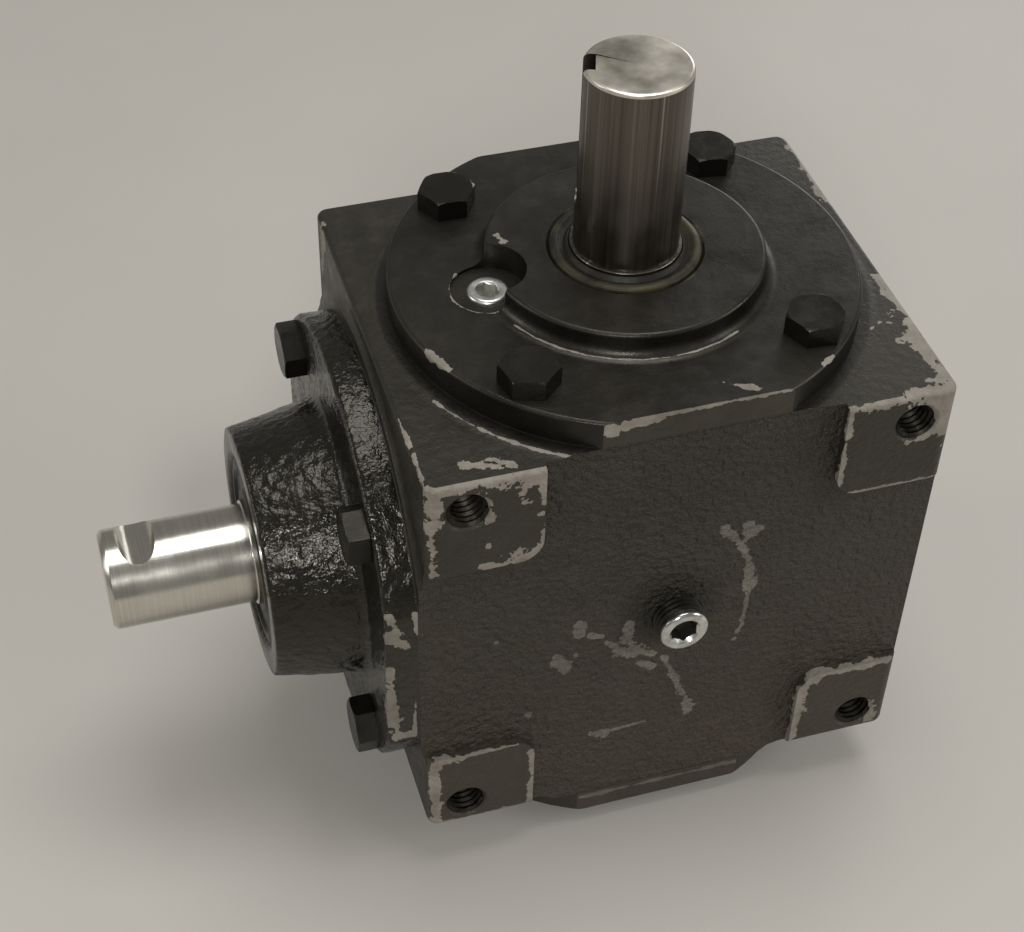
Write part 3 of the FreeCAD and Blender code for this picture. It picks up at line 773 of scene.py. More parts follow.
pad_chips = chips_on(lambda x, z: (x, 0, z), [
    (2.4, (-62.7, 61.5), (-62.3, 51.2)), (1.2, (-63.0, 51.4), (-62.7, 35.1)),
    (1.7, (-62.7, 61.0), (-51.9, 61.0)), (3.2, (-51.9, 61.0), (-36.8, 59.7)),
    (1.7, (-36.9, 59.9), (-36.7, 52.0)), (1.1, (-36.2, 44.7), (-36.4, 38.4)),
    (2.2, (-37.6, 36.4), (-42.8, 34.0)), (1.6, (-42.8, 34.0), (-50.2, 34.2)),
    (1.1, (-49.9, 54.8), (-49.5, 49.5)), (1.3, (-41.1, 52.3), (-40.2, 52.0)),
    (0.8, (-37.5, 47.8), (-37.2, 47.8)), (0.7, (-49.8, 41.3), (-49.8, 40.9)),
    (1.0, (36.7, 60.6), (36.8, 38.0)), (1.3, (37.3, 61.1), (49.9, 61.1)),
    (3.8, (60.4, 61.0), (63.0, 49.7)), (0.8, (53.1, 47.0), (58.2, 48.0)),
    (0.5, (40.1, 33.5), (62.2, 33.5)), (1.6, (-62.9, -34.4), (-62.7, -59.8)),
    (1.2, (-62.6, -34.0), (-54.8, -34.2)), (0.6, (-54.8, -33.7), (-41.0, -33.8)),
    (0.9, (-36.8, -38.3), (-36.8, -58.7)), (0.9, (-62.2, -60.2), (-45.1, -60.4)),
    (0.9, (-45.1, -60.2), (-36.5, -60.0)), (1.7, (36.8, -39.1), (42.1, -33.7)),
    (1.2, (43.1, -33.7), (62.7, -33.7)), (1.7, (36.9, -39.1), (36.9, -58.5)),
    (1.4, (58.6, -50.2), (60.2, -57.5))])
print("chips on the pads:", len(pad_chips))

# %% Chips and a painted highlight on the top
top_chips = chips_on(lambda x, y: (x, y, TOP), [
    (1.5, (HALF_WIDTH, BACK), (HALF_WIDTH, 74)), (2.0, (HALF_WIDTH, 44), (HALF_WIDTH, 31)),
    (4.6, (HALF_WIDTH, 24), (HALF_WIDTH, 2)), (1.8, (HALF_WIDTH, 1.3), (51.6, 0.8)),
    (0.5, (-63.9, 25.2), (-63.7, 15.6)), (0.5, (-63.7, 12.4), (-64.0, 2.0)),
    (1.1, (-53.4, 6.4), (-46.3, 4.0)), (1.1, (-47.3, 6.3), (-43.5, 3.9)),
    (0.4, (51.8, 24.9), (56.0, 27.2))])
corner_chips = [((-HALF_WIDTH, BACK - 9, 58), (-HALF_WIDTH, BACK - 6, 46), 2.0)]
# The strip along the rim of the cover's seat is a painted highlight, where the rim catches the light, drawn
# in the primer's colour.
seat_rim = [Vector((x, y + AXIS_Y / MM, TOP + 0.3)) for x, y in arc((0, 0), 60.7, 206, 241, 7)]
seat_rim_highlight = strips_along(seat_rim, 0.32)
print("chips on the top:", len(top_chips + corner_chips + seat_rim_highlight))

# %% Chips on the front face
face_chips = chips_on(front, [
    (1.2, (-12.3, 0.3), (-12.9, -5.6)), (0.8, (-18.1, -4.5), (-14.3, -8.2)),
    (1.9, (-15.0, -9.5), (-10.2, -10.2)), (0.7, (-9.7, -10.4), (-5.7, -13.0)),
    (0.8, (-8.7, -15.1), (-5.3, -17.7)), (0.7, (-22.5, -0.5), (-19.2, -2.2)),
    (1.4, (-24.7, 3.4), (-25.0, 0.6)), (1.7, (-31.0, -6.6), (-28.6, -9.9)),
    (0.7, (-26.1, -6.5), (-25.9, -6.9)), (1.1, (10.1, 27.1), (13.1, 23.6)),
    (1.0, (13.3, 23.2), (14.8, 20.0)), (1.1, (15.9, 27.4), (15.6, 24.1)),
    (1.0, (18.6, 24.8), (15.8, 22.5)), (1.1, (15.9, 19.3), (17.9, 12.1)),
    (1.3, (17.9, 12.1), (19.2, 5.2)), (0.5, (18.6, 4.3), (18.3, -2.1)),
    (0.5, (18.4, -2.4), (17.9, -7.3)), (0.5, (18.3, -8.9), (17.1, -11.4)),
    (0.5, (16.7, -13.6), (16.5, -14.1)), (0.6, (-2.3, -14.8), (0.5, -21.9)),
    (1.0, (0.7, -22.7), (3.4, -29.8)), (1.4, (3.4, -29.8), (6.0, -34.7)),
    (1.3, (6.0, -34.7), (6.3, -38.7)), (1.2, (-20.0, -39.7), (-16.8, -40.4)),
    (0.4, (-16.6, -40.1), (-5.8, -39.3)), (0.7, (-46.6, 4.2), (-46.3, 4.1)),
    (0.8, (-37.7, -25.6), (-37.4, -25.7))])
print("chips on the front face:", len(face_chips))

# %% Housing paint
FACE_SLACK = 0.05
# The middle of the painted shadow round the level plug.
PLUG_SHADOW_SPOT = mm(-2.2, PAD_HEIGHT, 3.2)
front_corner_chips = top_chips[2:4]
# gap=True paints the shadow in the ring beside the top cover.
housing_paint = black_paint("housing_paint", top_chips + corner_chips + seat_rim_highlight, lump=0.00022,
                            lump_scale=460, gloss=0.42, dust=0.4, tone=0.85, gap=True)
front_paint = black_paint("housing_front_paint", face_chips, lump=0.0034, lump_scale=520, gloss=0.46,
                          dust=0.5, grime_and_bounce=0.74, bare=0.72, ragged=0.75, plug_shadow_middle=PLUG_SHADOW_SPOT)
pad_paint = black_paint("housing_pad_paint", pad_chips + front_corner_chips, lump=0.0006, lump_scale=560,
                        gloss=0.44, dust=0.5, grime_and_bounce=0.45)
cast_edge = worn_edge("rubbed_cast_edge", (0.26, 0.235, 0.2), 0.5)
install(housing, "case", "cast_black", housing_paint, "housing", edges=cast_edge)
before_face = (PAD_HEIGHT - FACE_SLACK) * MM
behind_face = (PAD_HEIGHT + FACE_SLACK) * MM
repaint(housing, front_paint,
        lambda face: face.material_index == 0 and before_face < face.center.y < behind_face)
repaint(housing, pad_paint,
        lambda face: face.material_index == 0 and face.center.y <= before_face)

# %% [markdown]
# ## The output cover
# The top cover is one turned casting: a flange with its front and back edges sawn flush with the
# housing, a raised hub with a soft fillet at its foot, and a pocket for the shaft seal. A spotface for
# the fill plug bites into the side of the hub.

# %% Output cover, turned and sawn
CUP = 25.15
SHOULDER = 20.95
SPIGOT = 41.187
COVER_FOOT = 64.9
COVER_FACE = 72.1
cover_profile = [(CUP, 50.5), (SPIGOT, 50.5), (SPIGOT, COVER_FOOT), (COVER_RADIUS, COVER_FOOT)]
cover_profile += arc((COVER_RADIUS - 1.0, 71.1), 1.0, 0, 90, 4)
cover_profile += arc((37.0, 75.3), 3.2, 270, 180, 7)
cover_profile += arc((32.7, 77.25), 1.1, 0, 90, 4)
cover_profile += [(19.0, 78.35), (18.3, 77.7), (18.3, 72.6), (15.0, 72.6), (15.0, 71.2),
                  (SHOULDER, 71.2), (SHOULDER, 65.7), (CUP, 65.7), (CUP, 50.5)]
output_cover = lathe("output_cover_casting", cover_profile, on_output, 160)
saw_flats(output_cover, HALF_DEPTH)

# %% Bolt holes and spotface
BOLT_CIRCLE = 48.887
BOLT_HOLE = 4.37
SPOTFACE = 9.1
FILL_HOLE = 5.17


def bolt_places(place, low, high):
    """Four places round an axis, each at a low and a high level."""
    centre = place(0, 0)
    axis = (place(0, 1) - centre).normalized()
    side = (place(1, 0) - centre).normalized()
    other = axis.cross(side)
    spots = []
    for quarter in range(4):
        turn = math.radians(45 + 90 * quarter)
        spots.append(BOLT_CIRCLE * MM * (side * math.cos(turn) + other * math.sin(turn)))
    return [(place(0, low) + spot, place(0, high) + spot) for spot in spots]


def bolt_holes(place, low, high):
    return joined([cylinder("hole", BOLT_HOLE, a, b, 32) for a, b in bolt_places(place, low, high)])


carve(output_cover, bolt_holes(on_output, 60, 90))
plug_foot = mm(-34, 0, 0) + Vector((0, AXIS_Y, AXIS_Z))
above = plug_foot + mm(0, 0, 85)
carve(output_cover, cylinder("spotface", SPOTFACE, plug_foot + mm(0, 0, 71.2), above, 72))
carve(output_cover, cylinder("plug_hole", FILL_HOLE, plug_foot + mm(0, 0, 40), above, 48))
soften(output_cover, 0.35, 2, 38, worn=True)
even_shading(output_cover)
print("output cover done with", len(output_cover.data.polygons), "faces")

# %% Output cover's paint
flat_chips = chips_on(front, [
    (1.2, (-22.0, 67.6), (-19.7, 67.2)), (1.2, (-17.9, 67.6), (-9.7, 68.2)),
    (0.6, (-9.8, 69.0), (21.6, 69.0))])
cover_chips_and_highlight = chips_on(lambda x, y: (x, y, 69.4), [
    (0.8, (7.8, 8.1), (13.9, 4.6)), (1.1, (-54.0, 36.2), (-51.4, 28.4)), (0.5, (32, 8.2), (36, 10.6))])
cover_chips_and_highlight += [((-28.5, 65.9, 75.6), (-27.7, 63.7, 75.6), 0.9)]
spot_rim = [plug_foot / MM + Vector((*point, COVER_FACE)) for point in arc((0, 0), 9.2, 130, 320, 7)]
cover_chips_and_highlight += strips_along(spot_rim, 0.45)
# The thin strip round the foot of the hub is a painted highlight, where the fillet catches the light, drawn
# in the primer's colour.
hub_foot = [Vector((x, y + AXIS_Y / MM, 69.9)) for x, y in arc((0, 0), 35.5, 205, 300, 9)]
cover_chips_and_highlight += strips_along(hub_foot, 0.16)
# Its walls setting paints shade on the cover's upright sides.
cover_paint = black_paint("cover_paint", cover_chips_and_highlight, lump=0.00008, lump_scale=420, grain=0.00004,
                          gloss=0.34, dust=0.25, tone=0.6, shine=0.34, walls=0.85, grease=True)
install(output_cover, "case", "cast_black", cover_paint, "output_cover", edges=cast_edge)


def on_front_flat(face):
    """The sawn front flat of a cover, which is as dusty as the front face below it."""
    return face.normal.y < -0.99 and abs(face.center.y - PAD_HEIGHT * MM) < FACE_SLACK * MM


flat_paint = black_paint("cover_flat_paint", flat_chips, lump=0.0003, lump_scale=420, dust=0.5, grime_and_bounce=0.9)
repaint(output_cover, flat_paint, on_front_flat)

# %% [markdown]
# ## The input quill
# The nose on the left tapers towards its end, as a casting does that has to leave its mould. It is left
# as cast, so its skin is lumpy and shines in small spots. Bump alone would look flat at the outline, so
# the spun mesh gets a dense grid on the outside, and a Displace modifier with two clouds of different
# size pushes the skin in and out by a few tenths of a millimetre.

# %% Quill, turned and sawn
FLANGE_IN = HALF_WIDTH + 1.5
FLANGE_OUT = FLANGE_IN + 7.9
NOSE_END = FLANGE_OUT + 22.7
NOSE = 32.0
NOSE_FOOT = 36.0
SLOPE = math.atan2(NOSE_FOOT - NOSE, NOSE_END - FLANGE_OUT)
inset = (1 - math.sin(SLOPE)) / math.cos(SLOPE)
taper = math.degrees(SLOPE)
skin = [(COVER_RADIUS, FLANGE_IN)]
skin += arc((COVER_RADIUS - 1.2, FLANGE_OUT - 1.2), 1.2, 0, 90, 4)
skin += arc((NOSE_FOOT + 2.6 * inset, FLANGE_OUT + 2.6), 2.6, 270, 180 + taper, 6)
skin += arc((NOSE - 1.0 * inset, NOSE_END - 1.0), 1.0, taper, 90, 4)
inside = [(26.2, NOSE_END), (CUP, NOSE_END - 1), (CUP, 74.6), (SHOULDER, 74.6), (SHOULDER, 60.4),
          (CUP, 60.4), (CUP, 47.8), (SPIGOT, 47.8), (SPIGOT, FLANGE_IN), (COVER_RADIUS, FLANGE_IN)]
SKIN_GRID = 0.65
quill = lathe("input_quill_casting", dense(skin, SKIN_GRID) + inside, on_input, 340)
saw_flats(quill, HALF_DEPTH)


# %% Cast skin of the quill
def cloud(name, size):
    texture = bpy.data.textures.new(name, "CLOUDS")
    texture.noise_scale = size * MM
    texture.noise_depth = 2
    return texture


def cast_skin(piece, wanted, layers):
    group = piece.vertex_groups.new(name="skin")
    chosen = [point.index for point in piece.data.vertices if wanted(point.co / MM)]
    group.add(chosen, 1.0, "REPLACE")
    for name, size, depth in layers:
        use(piece, "DISPLACE", texture=cloud(name, size), texture_coords="LOCAL", strength=depth * MM,
            mid_level=0.5, vertex_group="skin")
    print("skin moved at", len(chosen), "points of", piece.name)


def quill_skin(point):
    radius = math.hypot(point.y - AXIS_Y / MM, point.z - AXIS_Z / MM)
    on_flat = abs(abs(point.y - AXIS_Y / MM) - HALF_DEPTH) < FACE_SLACK
    outside = -point.x > FLANGE_IN + 0.3 and radius > NOSE - 2.5
    return outside and not on_flat and -point.x < NOSE_END - 0.2


cast_skin(quill, quill_skin, (("quill_lumps", 1.7, 0.55), ("quill_waves", 9.0, 0.5)))
smooth(quill, 50)

# %% Quill's paint
flange_chips = chips_on(front, [
    (0.9, (-73.3, 22.7), (-71.3, 16.5)), (1.8, (-72.3, 14.1), (-69.2, 10.8)),
    (1.1, (-73.0, 2.0), (-72.0, -8.7)), (1.7, (-73.1, -11.3), (-71.2, -22.5)),
    (0.5, (-66.4, 20.2), (-66.0, 13.1)), (0.4, (-67.2, -23.8), (-66.6, -10.5))])
quill_paint = black_paint("quill_paint", flange_chips, lump=0.00055, lump_scale=430, grain=0.00003,
                          gloss=0.2, dust=0.1, tone=0.34, bare=0.82, shine=0.44)
install(quill, "case", "cast_black", quill_paint, "input_quill")

# %% [markdown]
# ## The blind cover
# The bottom cover has no shaft, so it is a plain flange with a short spigot that holds the lower
# bearing. Only its rim and its front flat show, but from below its whole face does.

# %% Blind cover
BLIND_FACE = (AXIS_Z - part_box("blind_cover")[0].z) / MM
blind_profile = [(0, BLIND_FACE), (COVER_RADIUS - 0.8, BLIND_FACE)]
blind_profile += arc((COVER_RADIUS - 0.8, BLIND_FACE - 0.8), 0.8, 90, 0, 3)
blind_profile += [(COVER_RADIUS, 61.4), (SPIGOT, 61.4), (SPIGOT, 43.1), (CUP, 43.1), (CUP, 55.7),
                  (SHOULDER, 55.7), (SHOULDER, 59.9), (0, 59.9)]
blind_cover = lathe("blind_cover_casting", blind_profile, below_output, 160)
saw_flats(blind_cover, HALF_DEPTH)
carve(blind_cover, bolt_holes(below_output, 58, 75))
soften(blind_cover, 0.3, 2, 38, worn=True)
even_shading(blind_cover)
blind_chips = chips_on(front, [(0.5, (-22, -66), (22, -66))])
blind_paint = black_paint("blind_cover_paint", lump=0.00014, lump_scale=420)
install(blind_cover, "case", "cast_black", blind_paint, "blind_cover", edges=cast_edge)
blind_flat_paint = black_paint("blind_flat_paint", blind_chips, lump=0.0003, lump_scale=420, grime_and_bounce=0.6,
                               bare=0.55)
repaint(blind_cover, blind_flat_paint, on_front_flat)

# %% [markdown]
# ## Hex bolts
# Twelve hex bolts hold the covers. A real head is a hexagon whose top is turned to a cone, which leaves
# a curved line on every flat. Intersecting a six-sided prism with a turned blank gives just that. The
# head is made once, and each copy is turned by its own angle, as nobody lines bolts up. The paint is thin
# here and its corners are rubbed, and the sides of the top bolts are blacker than their dusty ends, as
# painted shade.

# %% One bolt
FLATS = 12.7
HEAD = 5.3
SHANK = 20.4
SHANK_RADIUS = 3.97


def upright(radius, height):
    return Vector((radius * MM, 0, height * MM))


def hex_bolt():
    corner = FLATS / math.sqrt(3)
    prism = cylinder("bolt", corner, (0, 0, 0), (0, 0, HEAD * MM), 6)
    blank = lathe("blank", [(0, -1), (corner + 1, -1), (corner + 1, HEAD - 0.85), (corner, HEAD - 0.5),
                            (FLATS / 2 + 0.2, HEAD), (0, HEAD)], upright, 64)
    carve(prism, blank, "INTERSECT")
    merge_flats(prism)
    soften(prism, 0.22, 2, 25, worn=True)
    shank = lathe("shank", [(0, 0.5), (SHANK_RADIUS, 0.5), (SHANK_RADIUS, -SHANK + 1), (3.2, -SHANK),
                            (0, -SHANK)], upright, 32)
    return joined([prism, shank])


pattern_bolt = hex_bolt()
print("one bolt has", len(pattern_bolt.data.polygons), "faces")


# %% Twelve bolts in three groups
def bolt_group(name, place, face, turns, node_name, paint):
    copies = []
    up = (place(0, 1) - place(0, 0)).normalized()
    stand = Vector((0, 0, 1)).rotation_difference(up)
    for (foot, _), turn in zip(bolt_places(place, face, face + 1), turns):
        pick(pattern_bolt)
        bpy.ops.object.duplicate()
        copy = bpy.context.object
        spin = Vector((1, 0, 0)).rotation_difference(Vector((math.cos(turn), math.sin(turn), 0)))
        moved(copy, foot, stand @ spin)
        copies.append(copy)
    group = joined(copies)
    even_shading(group, 30)
    group.name = name
    group.data.name = name
    install(group, "case", "bolt_black", paint, node_name, edges=bolt_edge)


thin_paint = dict(lump=0.00005, lump_scale=500, grain=0.00003, dust=0.15, tone=0.45)
bolt_paint = black_paint("bolt_paint", gloss=0.3, shine=0.25, **thin_paint)
# The walls setting paints shade on the upright sides of the top bolts.
top_bolt_paint = black_paint("top_bolt_paint", gloss=0.24, shine=0.3, walls=0.85, **thin_paint)
bolt_edge = worn_edge("rubbed_bolt_edge", (0.42, 0.4, 0.36), 0.43)
bolt_group("output_cover_hex_bolts", on_output, COVER_FACE, (0.38, 0.5, 0.21, 0.44),
           "output_cover_bolts", top_bolt_paint)
bolt_group("input_quill_hex_bolts", on_input, FLANGE_OUT, (0.3, 0.9, 0.15, 0.6),
           "input_quill_bolts", bolt_paint)
bolt_group("blind_cover_hex_bolts", below_output, BLIND_FACE, (0.2, 0.5, 0.8, 0.35),
           "blind_cover_bolts", bolt_paint)
bpy.data.objects.remove(pattern_bolt)

# %% [markdown]
# ## The shafts
# Both shafts are ground to one inch outside and step up to the bearing seats inside. The output shaft
# has an open keyway at its top end. The input shaft has a round-bottomed notch across its top instead,
# where a clamping bolt would lie.

# %% Output shaft, turned
SHAFT = 12.7
BEARING_SEAT = 13.495
OUT_END = 128.2
output_profile = [(0, -51.5), (SHAFT, -51.5), (BEARING_SEAT, -50.7), (BEARING_SEAT, -36.1), (15, -36.1),
                  (15, 51.5), (BEARING_SEAT, 51.5), (BEARING_SEAT, 79.8), (13.3, 80.0), (SHAFT, 80.0),
                  (SHAFT, OUT_END - 1.0), (SHAFT - 0.35, OUT_END - 0.35), (SHAFT - 1.0, OUT_END),
                  (0, OUT_END)]
output_shaft = lathe("output_shaft_turned", output_profile, on_output, 144)

# %% Keyway and the output shaft's steel
KEY = 6.35
KEY_FLOOR = SHAFT - 3.2
KEY_FOOT = OUT_END - 34.8
KEY_TURN = 161


def keyway_cutter():
    slot = box("keyway", mm(KEY_FLOOR, -KEY / 2, KEY_FOOT), mm(SHAFT + 5, KEY / 2, OUT_END + 5))
    end = cylinder("keyway_end", KEY / 2, mm(KEY_FLOOR, 0, KEY_FOOT), mm(SHAFT + 5, 0, KEY_FOOT), 48)
    carve(slot, end, "UNION")
    slot.rotation_euler.z = math.radians(KEY_TURN)
    slot.location = (0, AXIS_Y, AXIS_Z)
    pick(slot)
    return named("keyway")


carve(output_shaft, keyway_cutter())
soften(output_shaft, 0.16, 2, 40)
even_shading(output_shaft, 30)
aged_steel = bare_metal("aged_steel", (0.088, 0.076, 0.063), (0.168, 0.148, 0.127), 0.33, (900, 900, 9),
                        stained=0.12, scored=(0.4, 0.38, 0.34))
install(output_shaft, "output", "aged_steel", aged_steel, "output_shaft")
# The end face's pale steel is a painted reflection of a bright room above, which the top of the shaft
# mirrors.
end_steel_with_reflection = bare_metal("turned_end_steel_painted_reflection", (0.52, 0.485, 0.41), (0.76, 0.715, 0.62), 0.3, (90, 90, 90),
                       0.14, 0.00003)
end_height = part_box("output_shaft")[1].z - 1.05 * MM
repaint(output_shaft, end_steel_with_reflection, lambda face: face.center.z > end_height and face.normal.z > 0.1)

# %% Input shaft, turned
PINION_SEAT = 9.525
RING_GROOVE = 12.595
IN_END = -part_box("input_shaft")[0].x / MM
input_profile = [(0, 28.7), (PINION_SEAT, 28.7), (PINION_SEAT, 46.2), (BEARING_SEAT, 46.2),
                 (BEARING_SEAT, 88.8), (RING_GROOVE, 88.8), (RING_GROOVE, 90.4), (BEARING_SEAT, 90.4),
                 (BEARING_SEAT, NOSE_END + 0.2), (13.3, NOSE_END + 0.4), (SHAFT, NOSE_END + 0.4),
                 (SHAFT, IN_END - 1.2), (SHAFT - 0.25, IN_END - 0.8), (SHAFT - 1.1, IN_END), (0, IN_END)]
input_shaft = lathe("input_shaft_turned", input_profile, on_input, 144)

# %% Notch and the input shaft's steel
NOTCH = 5.0
NOTCH_DEPTH = 3.5
NOTCH_TILT = math.radians(9)
below_notch = on_input(0, IN_END - 8.9)
arm = on_input(SHAFT - NOTCH_DEPTH + NOTCH, IN_END - 8.9) - below_notch
notch_middle = below_notch + Vector((0, arm.z * math.sin(NOTCH_TILT), arm.z * math.cos(NOTCH_TILT)))
across = Vector((0, math.cos(NOTCH_TILT), -math.sin(NOTCH_TILT))) * 30 * MM
carve(input_shaft, cylinder("notch", NOTCH, notch_middle - across, notch_middle + across, 64))
soften(input_shaft, 0.16, 2, 40)
even_shading(input_shaft, 30)
ground_steel = bare_metal("ground_steel", (0.53, 0.503, 0.447), (0.66, 0.632, 0.57), 0.19, (2600, 30, 30),
                          0.08, 0.000004)
install(input_shaft, "input", "ground_steel", ground_steel, "input_shaft")

# %% [markdown]
# ## Shaft seals
# The output seal stands a little proud of the hub: a rounded rubber ring with a groove, then a thin dust
# lip close to the shaft. Grease has crept past it and stained its outer ring olive. The input seal is
# clean and lies flat in the end of the nose. Both share one finish, which finds the greasy ring by its
# height and its distance from the output axis.

# %% Rubber of the seals
RUBBER = (0.012, 0.0105, 0.0075)
GREY_RUBBER = (0.021, 0.019, 0.014)
OLIVE_GREASE = (0.044, 0.038, 0.02)
seal_finish, seal_tree, seal_shader = new_finish("greasy_rubber")
seal_spot = places(seal_tree)
smear = noise(seal_tree, seal_spot, 110, 6, 0.65)
rubber = blend_of(seal_tree, span(seal_tree, smear, 0.4, 0.6), RUBBER, GREY_RUBBER)
ring = span(seal_tree, from_output_axis(seal_tree, seal_spot), 0.0148, 0.0164)
seal_level = node(seal_tree, "SeparateXYZ", {0: seal_spot}).outputs["Z"]
outer_ring = sums(seal_tree, "MULTIPLY", ring, span(seal_tree, seal_level, 0.07, 0.072))
smeared = sums(seal_tree, "MULTIPLY", outer_ring, span(seal_tree, smear, 0.36, 0.56))
seal_colour = blend_of(seal_tree, smeared, rubber, OLIVE_GREASE)
seal_tree.links.new(seal_colour, seal_shader.inputs["Base Color"])
seal_tree.links.new(span(seal_tree, smear, 0.3, 0.7, 0.55, 0.36), seal_shader.inputs["Roughness"])
seal_shader.inputs["Specular IOR Level"].default_value = 0.25
bumped(seal_tree, seal_shader, noise(seal_tree, seal_spot, 700, 3), 0.00008)
print("seal finish has", len(seal_tree.nodes), "nodes")

# %% Output seal
LIP = 13.56
output_seal_profile = [(18.25, 72.6), (18.25, 78.4), (18.0, 78.75), (17.4, 79.05), (16.7, 79.2), (16.2, 79.0),
                       (15.7, 78.5), (14.9, 78.4), (14.5, 78.9), (14.1, 79.4), (13.75, 79.4), (LIP, 79.0),
                       (LIP, 78.2), (14.9, 75.2), (14.9, 74.0), (14.3, 74.0), (14.3, 72.6), (18.25, 72.6)]
output_seal = lathe("output_shaft_seal", output_seal_profile, on_output, 128)
even_shading(output_seal, 50)
install(output_seal, "case", "seal_rubber", seal_finish, "output_seal")

# %% Input seal
SEAL_FACE = NOSE_END - 0.6
input_seal_shape = [(25.1, 5), (25.1, 1.2), (24.4, 0.3), (23.0, 0), (21.6, 0), (21.0, 0.8), (16.4, 0.8),
                    (15.8, 0.1), (14.6, 0), (13.7, 0.3), (LIP, 0.8), (LIP, 1.4), (14.9, 3.4), (14.9, 5),
                    (25.1, 5)]
input_seal_profile = [(radius, SEAL_FACE - depth) for radius, depth in input_seal_shape]
input_seal = lathe("input_shaft_seal", input_seal_profile, on_input, 128)
even_shading(input_seal, 50)
install(input_seal, "case", "seal_rubber", seal_finish, "input_seal")

# %% [markdown]
# ## Plugs and threads
# The two socket plugs are bright zinc, and the top one is paler and rougher, its pale colour a painted
# reflection of the room. The front one was never screwed home, so turns of its thread, painted near
# black, show behind the chamfered end. A thread is a small V profile wound up with the Screw modifier.
# The same trick, turned inside out, gives the threads in the four pad holes.


# %% Thread helper
def thread(name, radius, pitch, depth, turns, steps=40):
    """A wound V, as deep as depth; the shares of the pitch leave a narrow crest and root."""
    crest = radius + depth
    shape = [(radius, 0), (radius, 0.06), (crest, 0.44), (crest, 0.56), (radius, 0.94), (radius, 1)]
    piece = draw_line(name, [Vector((r * MM, 0, share * pitch * MM)) for r, share in shape])
    close_mesh()
    use(piece, "SCREW", angle=2 * math.pi, screw_offset=pitch * MM, iterations=turns, steps=steps,
        render_steps=steps, axis="Z", use_merge_vertices=True, merge_threshold=WELD_GAP)
    weld(piece)
    print(name, "wound", turns, "times")
    return piece


# %% Fill plug
def socket_plug(name, radius, rim, length, flats, lead):
    profile = [(0, -length), (radius, -length), (radius, -1.9), (rim, -1.5), (rim, -0.75),
               (rim - 0.25, -0.3), (rim - 0.75, 0), (0, 0)]
    plug = lathe(name, profile, upright, 64)
    corner = flats / math.sqrt(3)
    carve(plug, cylinder("socket", corner, (0, 0, -4.5 * MM), (0, 0, MM), 6))
    lead_in = [(0, -1.4), (corner + lead - 1.4, -1.4), (corner + lead + 0.7, 0.7), (0, 0.7)]
    carve(plug, lathe("lead_in", lead_in, upright, 48))
    soften(plug, 0.1, 2, 30)
    even_shading(plug, 35)
    return plug


zinc = bare_metal("bright_zinc", (0.42, 0.42, 0.4), (0.74, 0.74, 0.71), 0.2, (400, 400, 400), 0.14, 0.00002)
# The fill plug's paler zinc paints the reflection of a bright room on its upward face.
zinc_with_painted_reflection = bare_metal("zinc_with_painted_reflection", (0.5, 0.5, 0.47), (0.86, 0.86, 0.81), 0.3, (400, 400, 400), 0.14,
                         0.00002)
fill_plug = socket_plug("fill_socket_plug", 5.0, 5.15, 8.0, 4.76, 0.25)
moved(fill_plug, plug_foot + mm(0, 0, 72.0))
install(fill_plug, "case", "zinc_plug", zinc_with_painted_reflection, "fill_plug")

# %% Level plug
TO_FRONT = Vector((0, 0, 1)).rotation_difference(Vector((0, -1, 0)))
SOCKET_DEEP = 0.9
SOCKET_WIDE = 4.4
level_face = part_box("level_plug")[0].y
level_plug = socket_plug("level_socket_plug", 5.7, 6.3, 13.5, 6.35, 0.5)
moved(level_plug, Vector((0, level_face, 0)), TO_FRONT)
install(level_plug, "case", "zinc_plug", zinc, "level_plug")


def in_socket(face):
    deep = face.center.y - level_face
    return deep > SOCKET_DEEP * MM and math.hypot(face.center.x, face.center.z) < SOCKET_WIDE * MM


# Painted shade: the inside of the level plug's socket is painted near black.
repaint(level_plug, black_paint("socket_painted_shade", lump=0.00003, gloss=0.3), in_socket)

# %% Thread of the level plug
LEVEL_PITCH = 1.41
level_thread = thread("level_plug_thread", 5.75, LEVEL_PITCH, 0.75, 8)
moved(level_thread, Vector((0, level_face + 14.1 * MM, 0)), TO_FRONT)
smooth(level_thread, 35)
thread_paint = black_paint("thread_paint", lump=0.00005, lump_scale=600, gloss=0.3, dust=0.1, tone=0.3,
                           shine=0.3)
install(level_thread, "case", "zinc_plug", thread_paint)

# %% Threads in the pad holes
PAD_PITCH = 1.5875
# Painted shade: the threads in the pad holes are painted near-black iron, as if the holes stood in shadow.
hole_shade_iron = bare_metal("tapped_iron_painted_shade", (0.012, 0.011, 0.009), (0.055, 0.049, 0.04), 0.42, (700, 700, 700),
                       0.2, 0.00002)
hole_threads = []
for x, z in pad_places:
    wound = thread("hole_thread", THREAD_RADIUS, PAD_PITCH, -0.78, 10)
    moved(wound, mm(x, 17.4, z), TO_FRONT)
    hole_threads.append(wound)
pad_threads = joined(hole_threads)
pad_threads.name = "pad_hole_threads"
smooth(pad_threads, 35)
install(pad_threads, "case", "cast_black", hole_shade_iron)

# %% [markdown]
# ## The pieces inside
# Gears, bearings, keys and shims keep their solids. They are closed in, but a reader who opens the
# housing should find oiled steel, not a flat colour, so each group gets a machined finish.

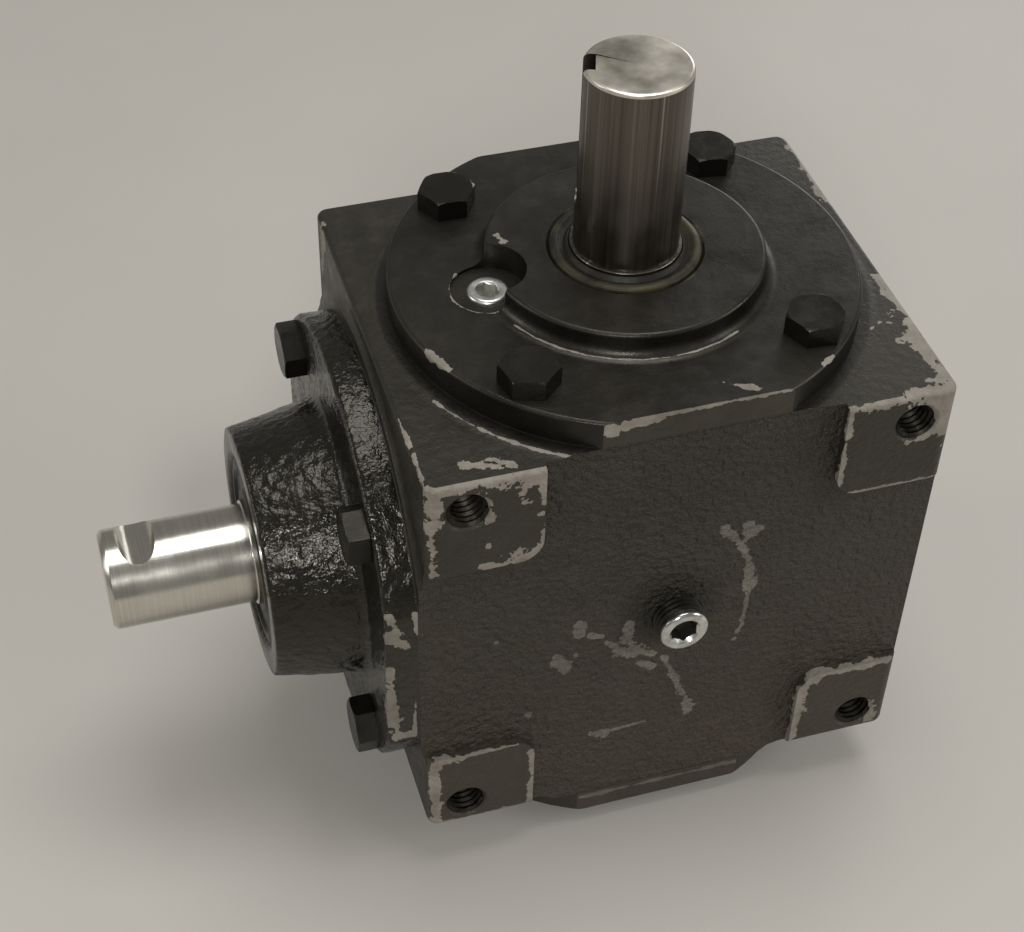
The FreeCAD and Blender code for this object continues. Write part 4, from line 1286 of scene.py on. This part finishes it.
# %% Finishes inside
oiled_gear = bare_metal("oiled_gear_steel", (0.3, 0.28, 0.24), (0.46, 0.44, 0.4), 0.28, (500, 500, 500))
turned_steel = bare_metal("turned_steel", (0.36, 0.35, 0.33), (0.52, 0.51, 0.49), 0.32, (700, 700, 700))
race_steel = bare_metal("race_steel", (0.55, 0.55, 0.55), (0.7, 0.7, 0.7), 0.14, (1200, 1200, 1200), 0.05)
cage_steel = bare_metal("cage_steel", (0.3, 0.28, 0.25), (0.44, 0.42, 0.38), 0.34, (600, 600, 600))
black_spring = bare_metal("black_spring_steel", (0.06, 0.06, 0.065), (0.14, 0.14, 0.15), 0.38,
                          (600, 600, 600))
shim_paint = black_paint("shim_edge_paint", lump=0.00004, lump_scale=600)
inside_finishes = {"gear_steel": oiled_gear, "mild_steel": turned_steel, "bearing_steel": race_steel,
                   "cage_steel": cage_steel, "spring_steel": black_spring, "shim_steel": shim_paint}
dressed = 0
for subpart in frame["record"]["subparts"]:
    finish = inside_finishes.get(subpart["material_slot"])
    if finish:
        solid = frame["nodes"][subpart["node"]]
        solid.data.materials.clear()
        solid.data.materials.append(finish)
        dressed += 1
print("solids dressed inside:", dressed)

# %% [markdown]
# ## Floor, light and camera
# The reducer stands on the heads of its lower bolts on a pale floor. Lamps close to a small object leave
# the far floor dark, and a low view would show that as a black band. A bigger lamp would change the light
# on the paint, so the far floor gets a faint glow instead, up to the tone of the room behind it.
#
# One broad lamp hangs above. A small one at the left front draws the bright streaks on the shafts and the
# nose, and three wide, weak ones at the right, the left and the back keep every side readable. The camera
# has the height, the angle and the lens of the photograph.

# %% Floor
floor_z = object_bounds()[0][2]
deselect()
bpy.ops.mesh.primitive_plane_add(size=8, location=(0, 0, floor_z - 0.05 * MM))
floor = named("floor")
floor_finish, floor_tree, floor_shader = new_finish("pale_floor")
floor_spot = places(floor_tree)
floor_mottle = noise(floor_tree, floor_spot, 6, 4)
floor_colour = blend_of(floor_tree, floor_mottle, (0.44, 0.418, 0.378), (0.5, 0.476, 0.434))
floor_tree.links.new(floor_colour, floor_shader.inputs["Base Color"])
floor_shader.inputs["Roughness"].default_value = 0.6
from_middle = node(floor_tree, "VectorMath", {0: floor_spot}, operation="LENGTH").outputs["Value"]
floor_tree.links.new(span(floor_tree, from_middle, 0.8, 3.0), floor_shader.inputs["Emission Strength"])
floor_shader.inputs["Emission Color"].default_value = (0.125, 0.122, 0.117, 1)
floor.data.materials.append(floor_finish)
print("floor at", round(floor_z, 4))


# %% Lights and world
def softbox(name, place, target, size, power):
    deselect()
    bpy.ops.object.light_add(type="AREA", location=place)
    lamp = bpy.context.object
    lamp.name = name
    lamp.data.shape = "DISK"
    lamp.data.size = size
    lamp.data.energy = power
    lamp.rotation_euler = (Vector(target) - Vector(place)).to_track_quat("-Z", "Y").to_euler()


middle = (0, AXIS_Y, 0.02)
softbox("key_above", (0.1, 0.15, 1.2), middle, 0.8, 7.5)
softbox("fill_left_front", (-0.38, -0.92, 0.72), middle, 0.24, 5.5)
softbox("fill_right", (1.2, -0.45, 0.55), middle, 0.6, 5.0)
softbox("fill_left", (-1.25, 0.25, 0.5), middle, 0.6, 3.0)
softbox("fill_back", (0.9, 1.2, 0.4), middle, 0.6, 3.0)
world = bpy.data.worlds.new("soft_room")
bpy.context.scene.world = world
world.use_nodes = True
room = world.node_tree.nodes["Background"].inputs
room["Color"].default_value = (0.92, 0.9, 0.86, 1)
room["Strength"].default_value = 0.25

# %% Camera
CAMERA_PLACE = mm(-141.345, -295.702, 362.367)
CAMERA_TURNS = [math.radians(turn) for turn in (46.2438, -1.2173, -16.9456)]
deselect()
bpy.ops.object.camera_add(location=CAMERA_PLACE, rotation=CAMERA_TURNS)
camera = bpy.context.object
camera.data.sensor_width = 36
camera.data.lens = 69.507
camera.data.clip_start = 0.01
bpy.context.scene.camera = camera
bpy.context.scene.view_settings.view_transform = "Standard"
print("camera", [round(value, 4) for value in camera.location])
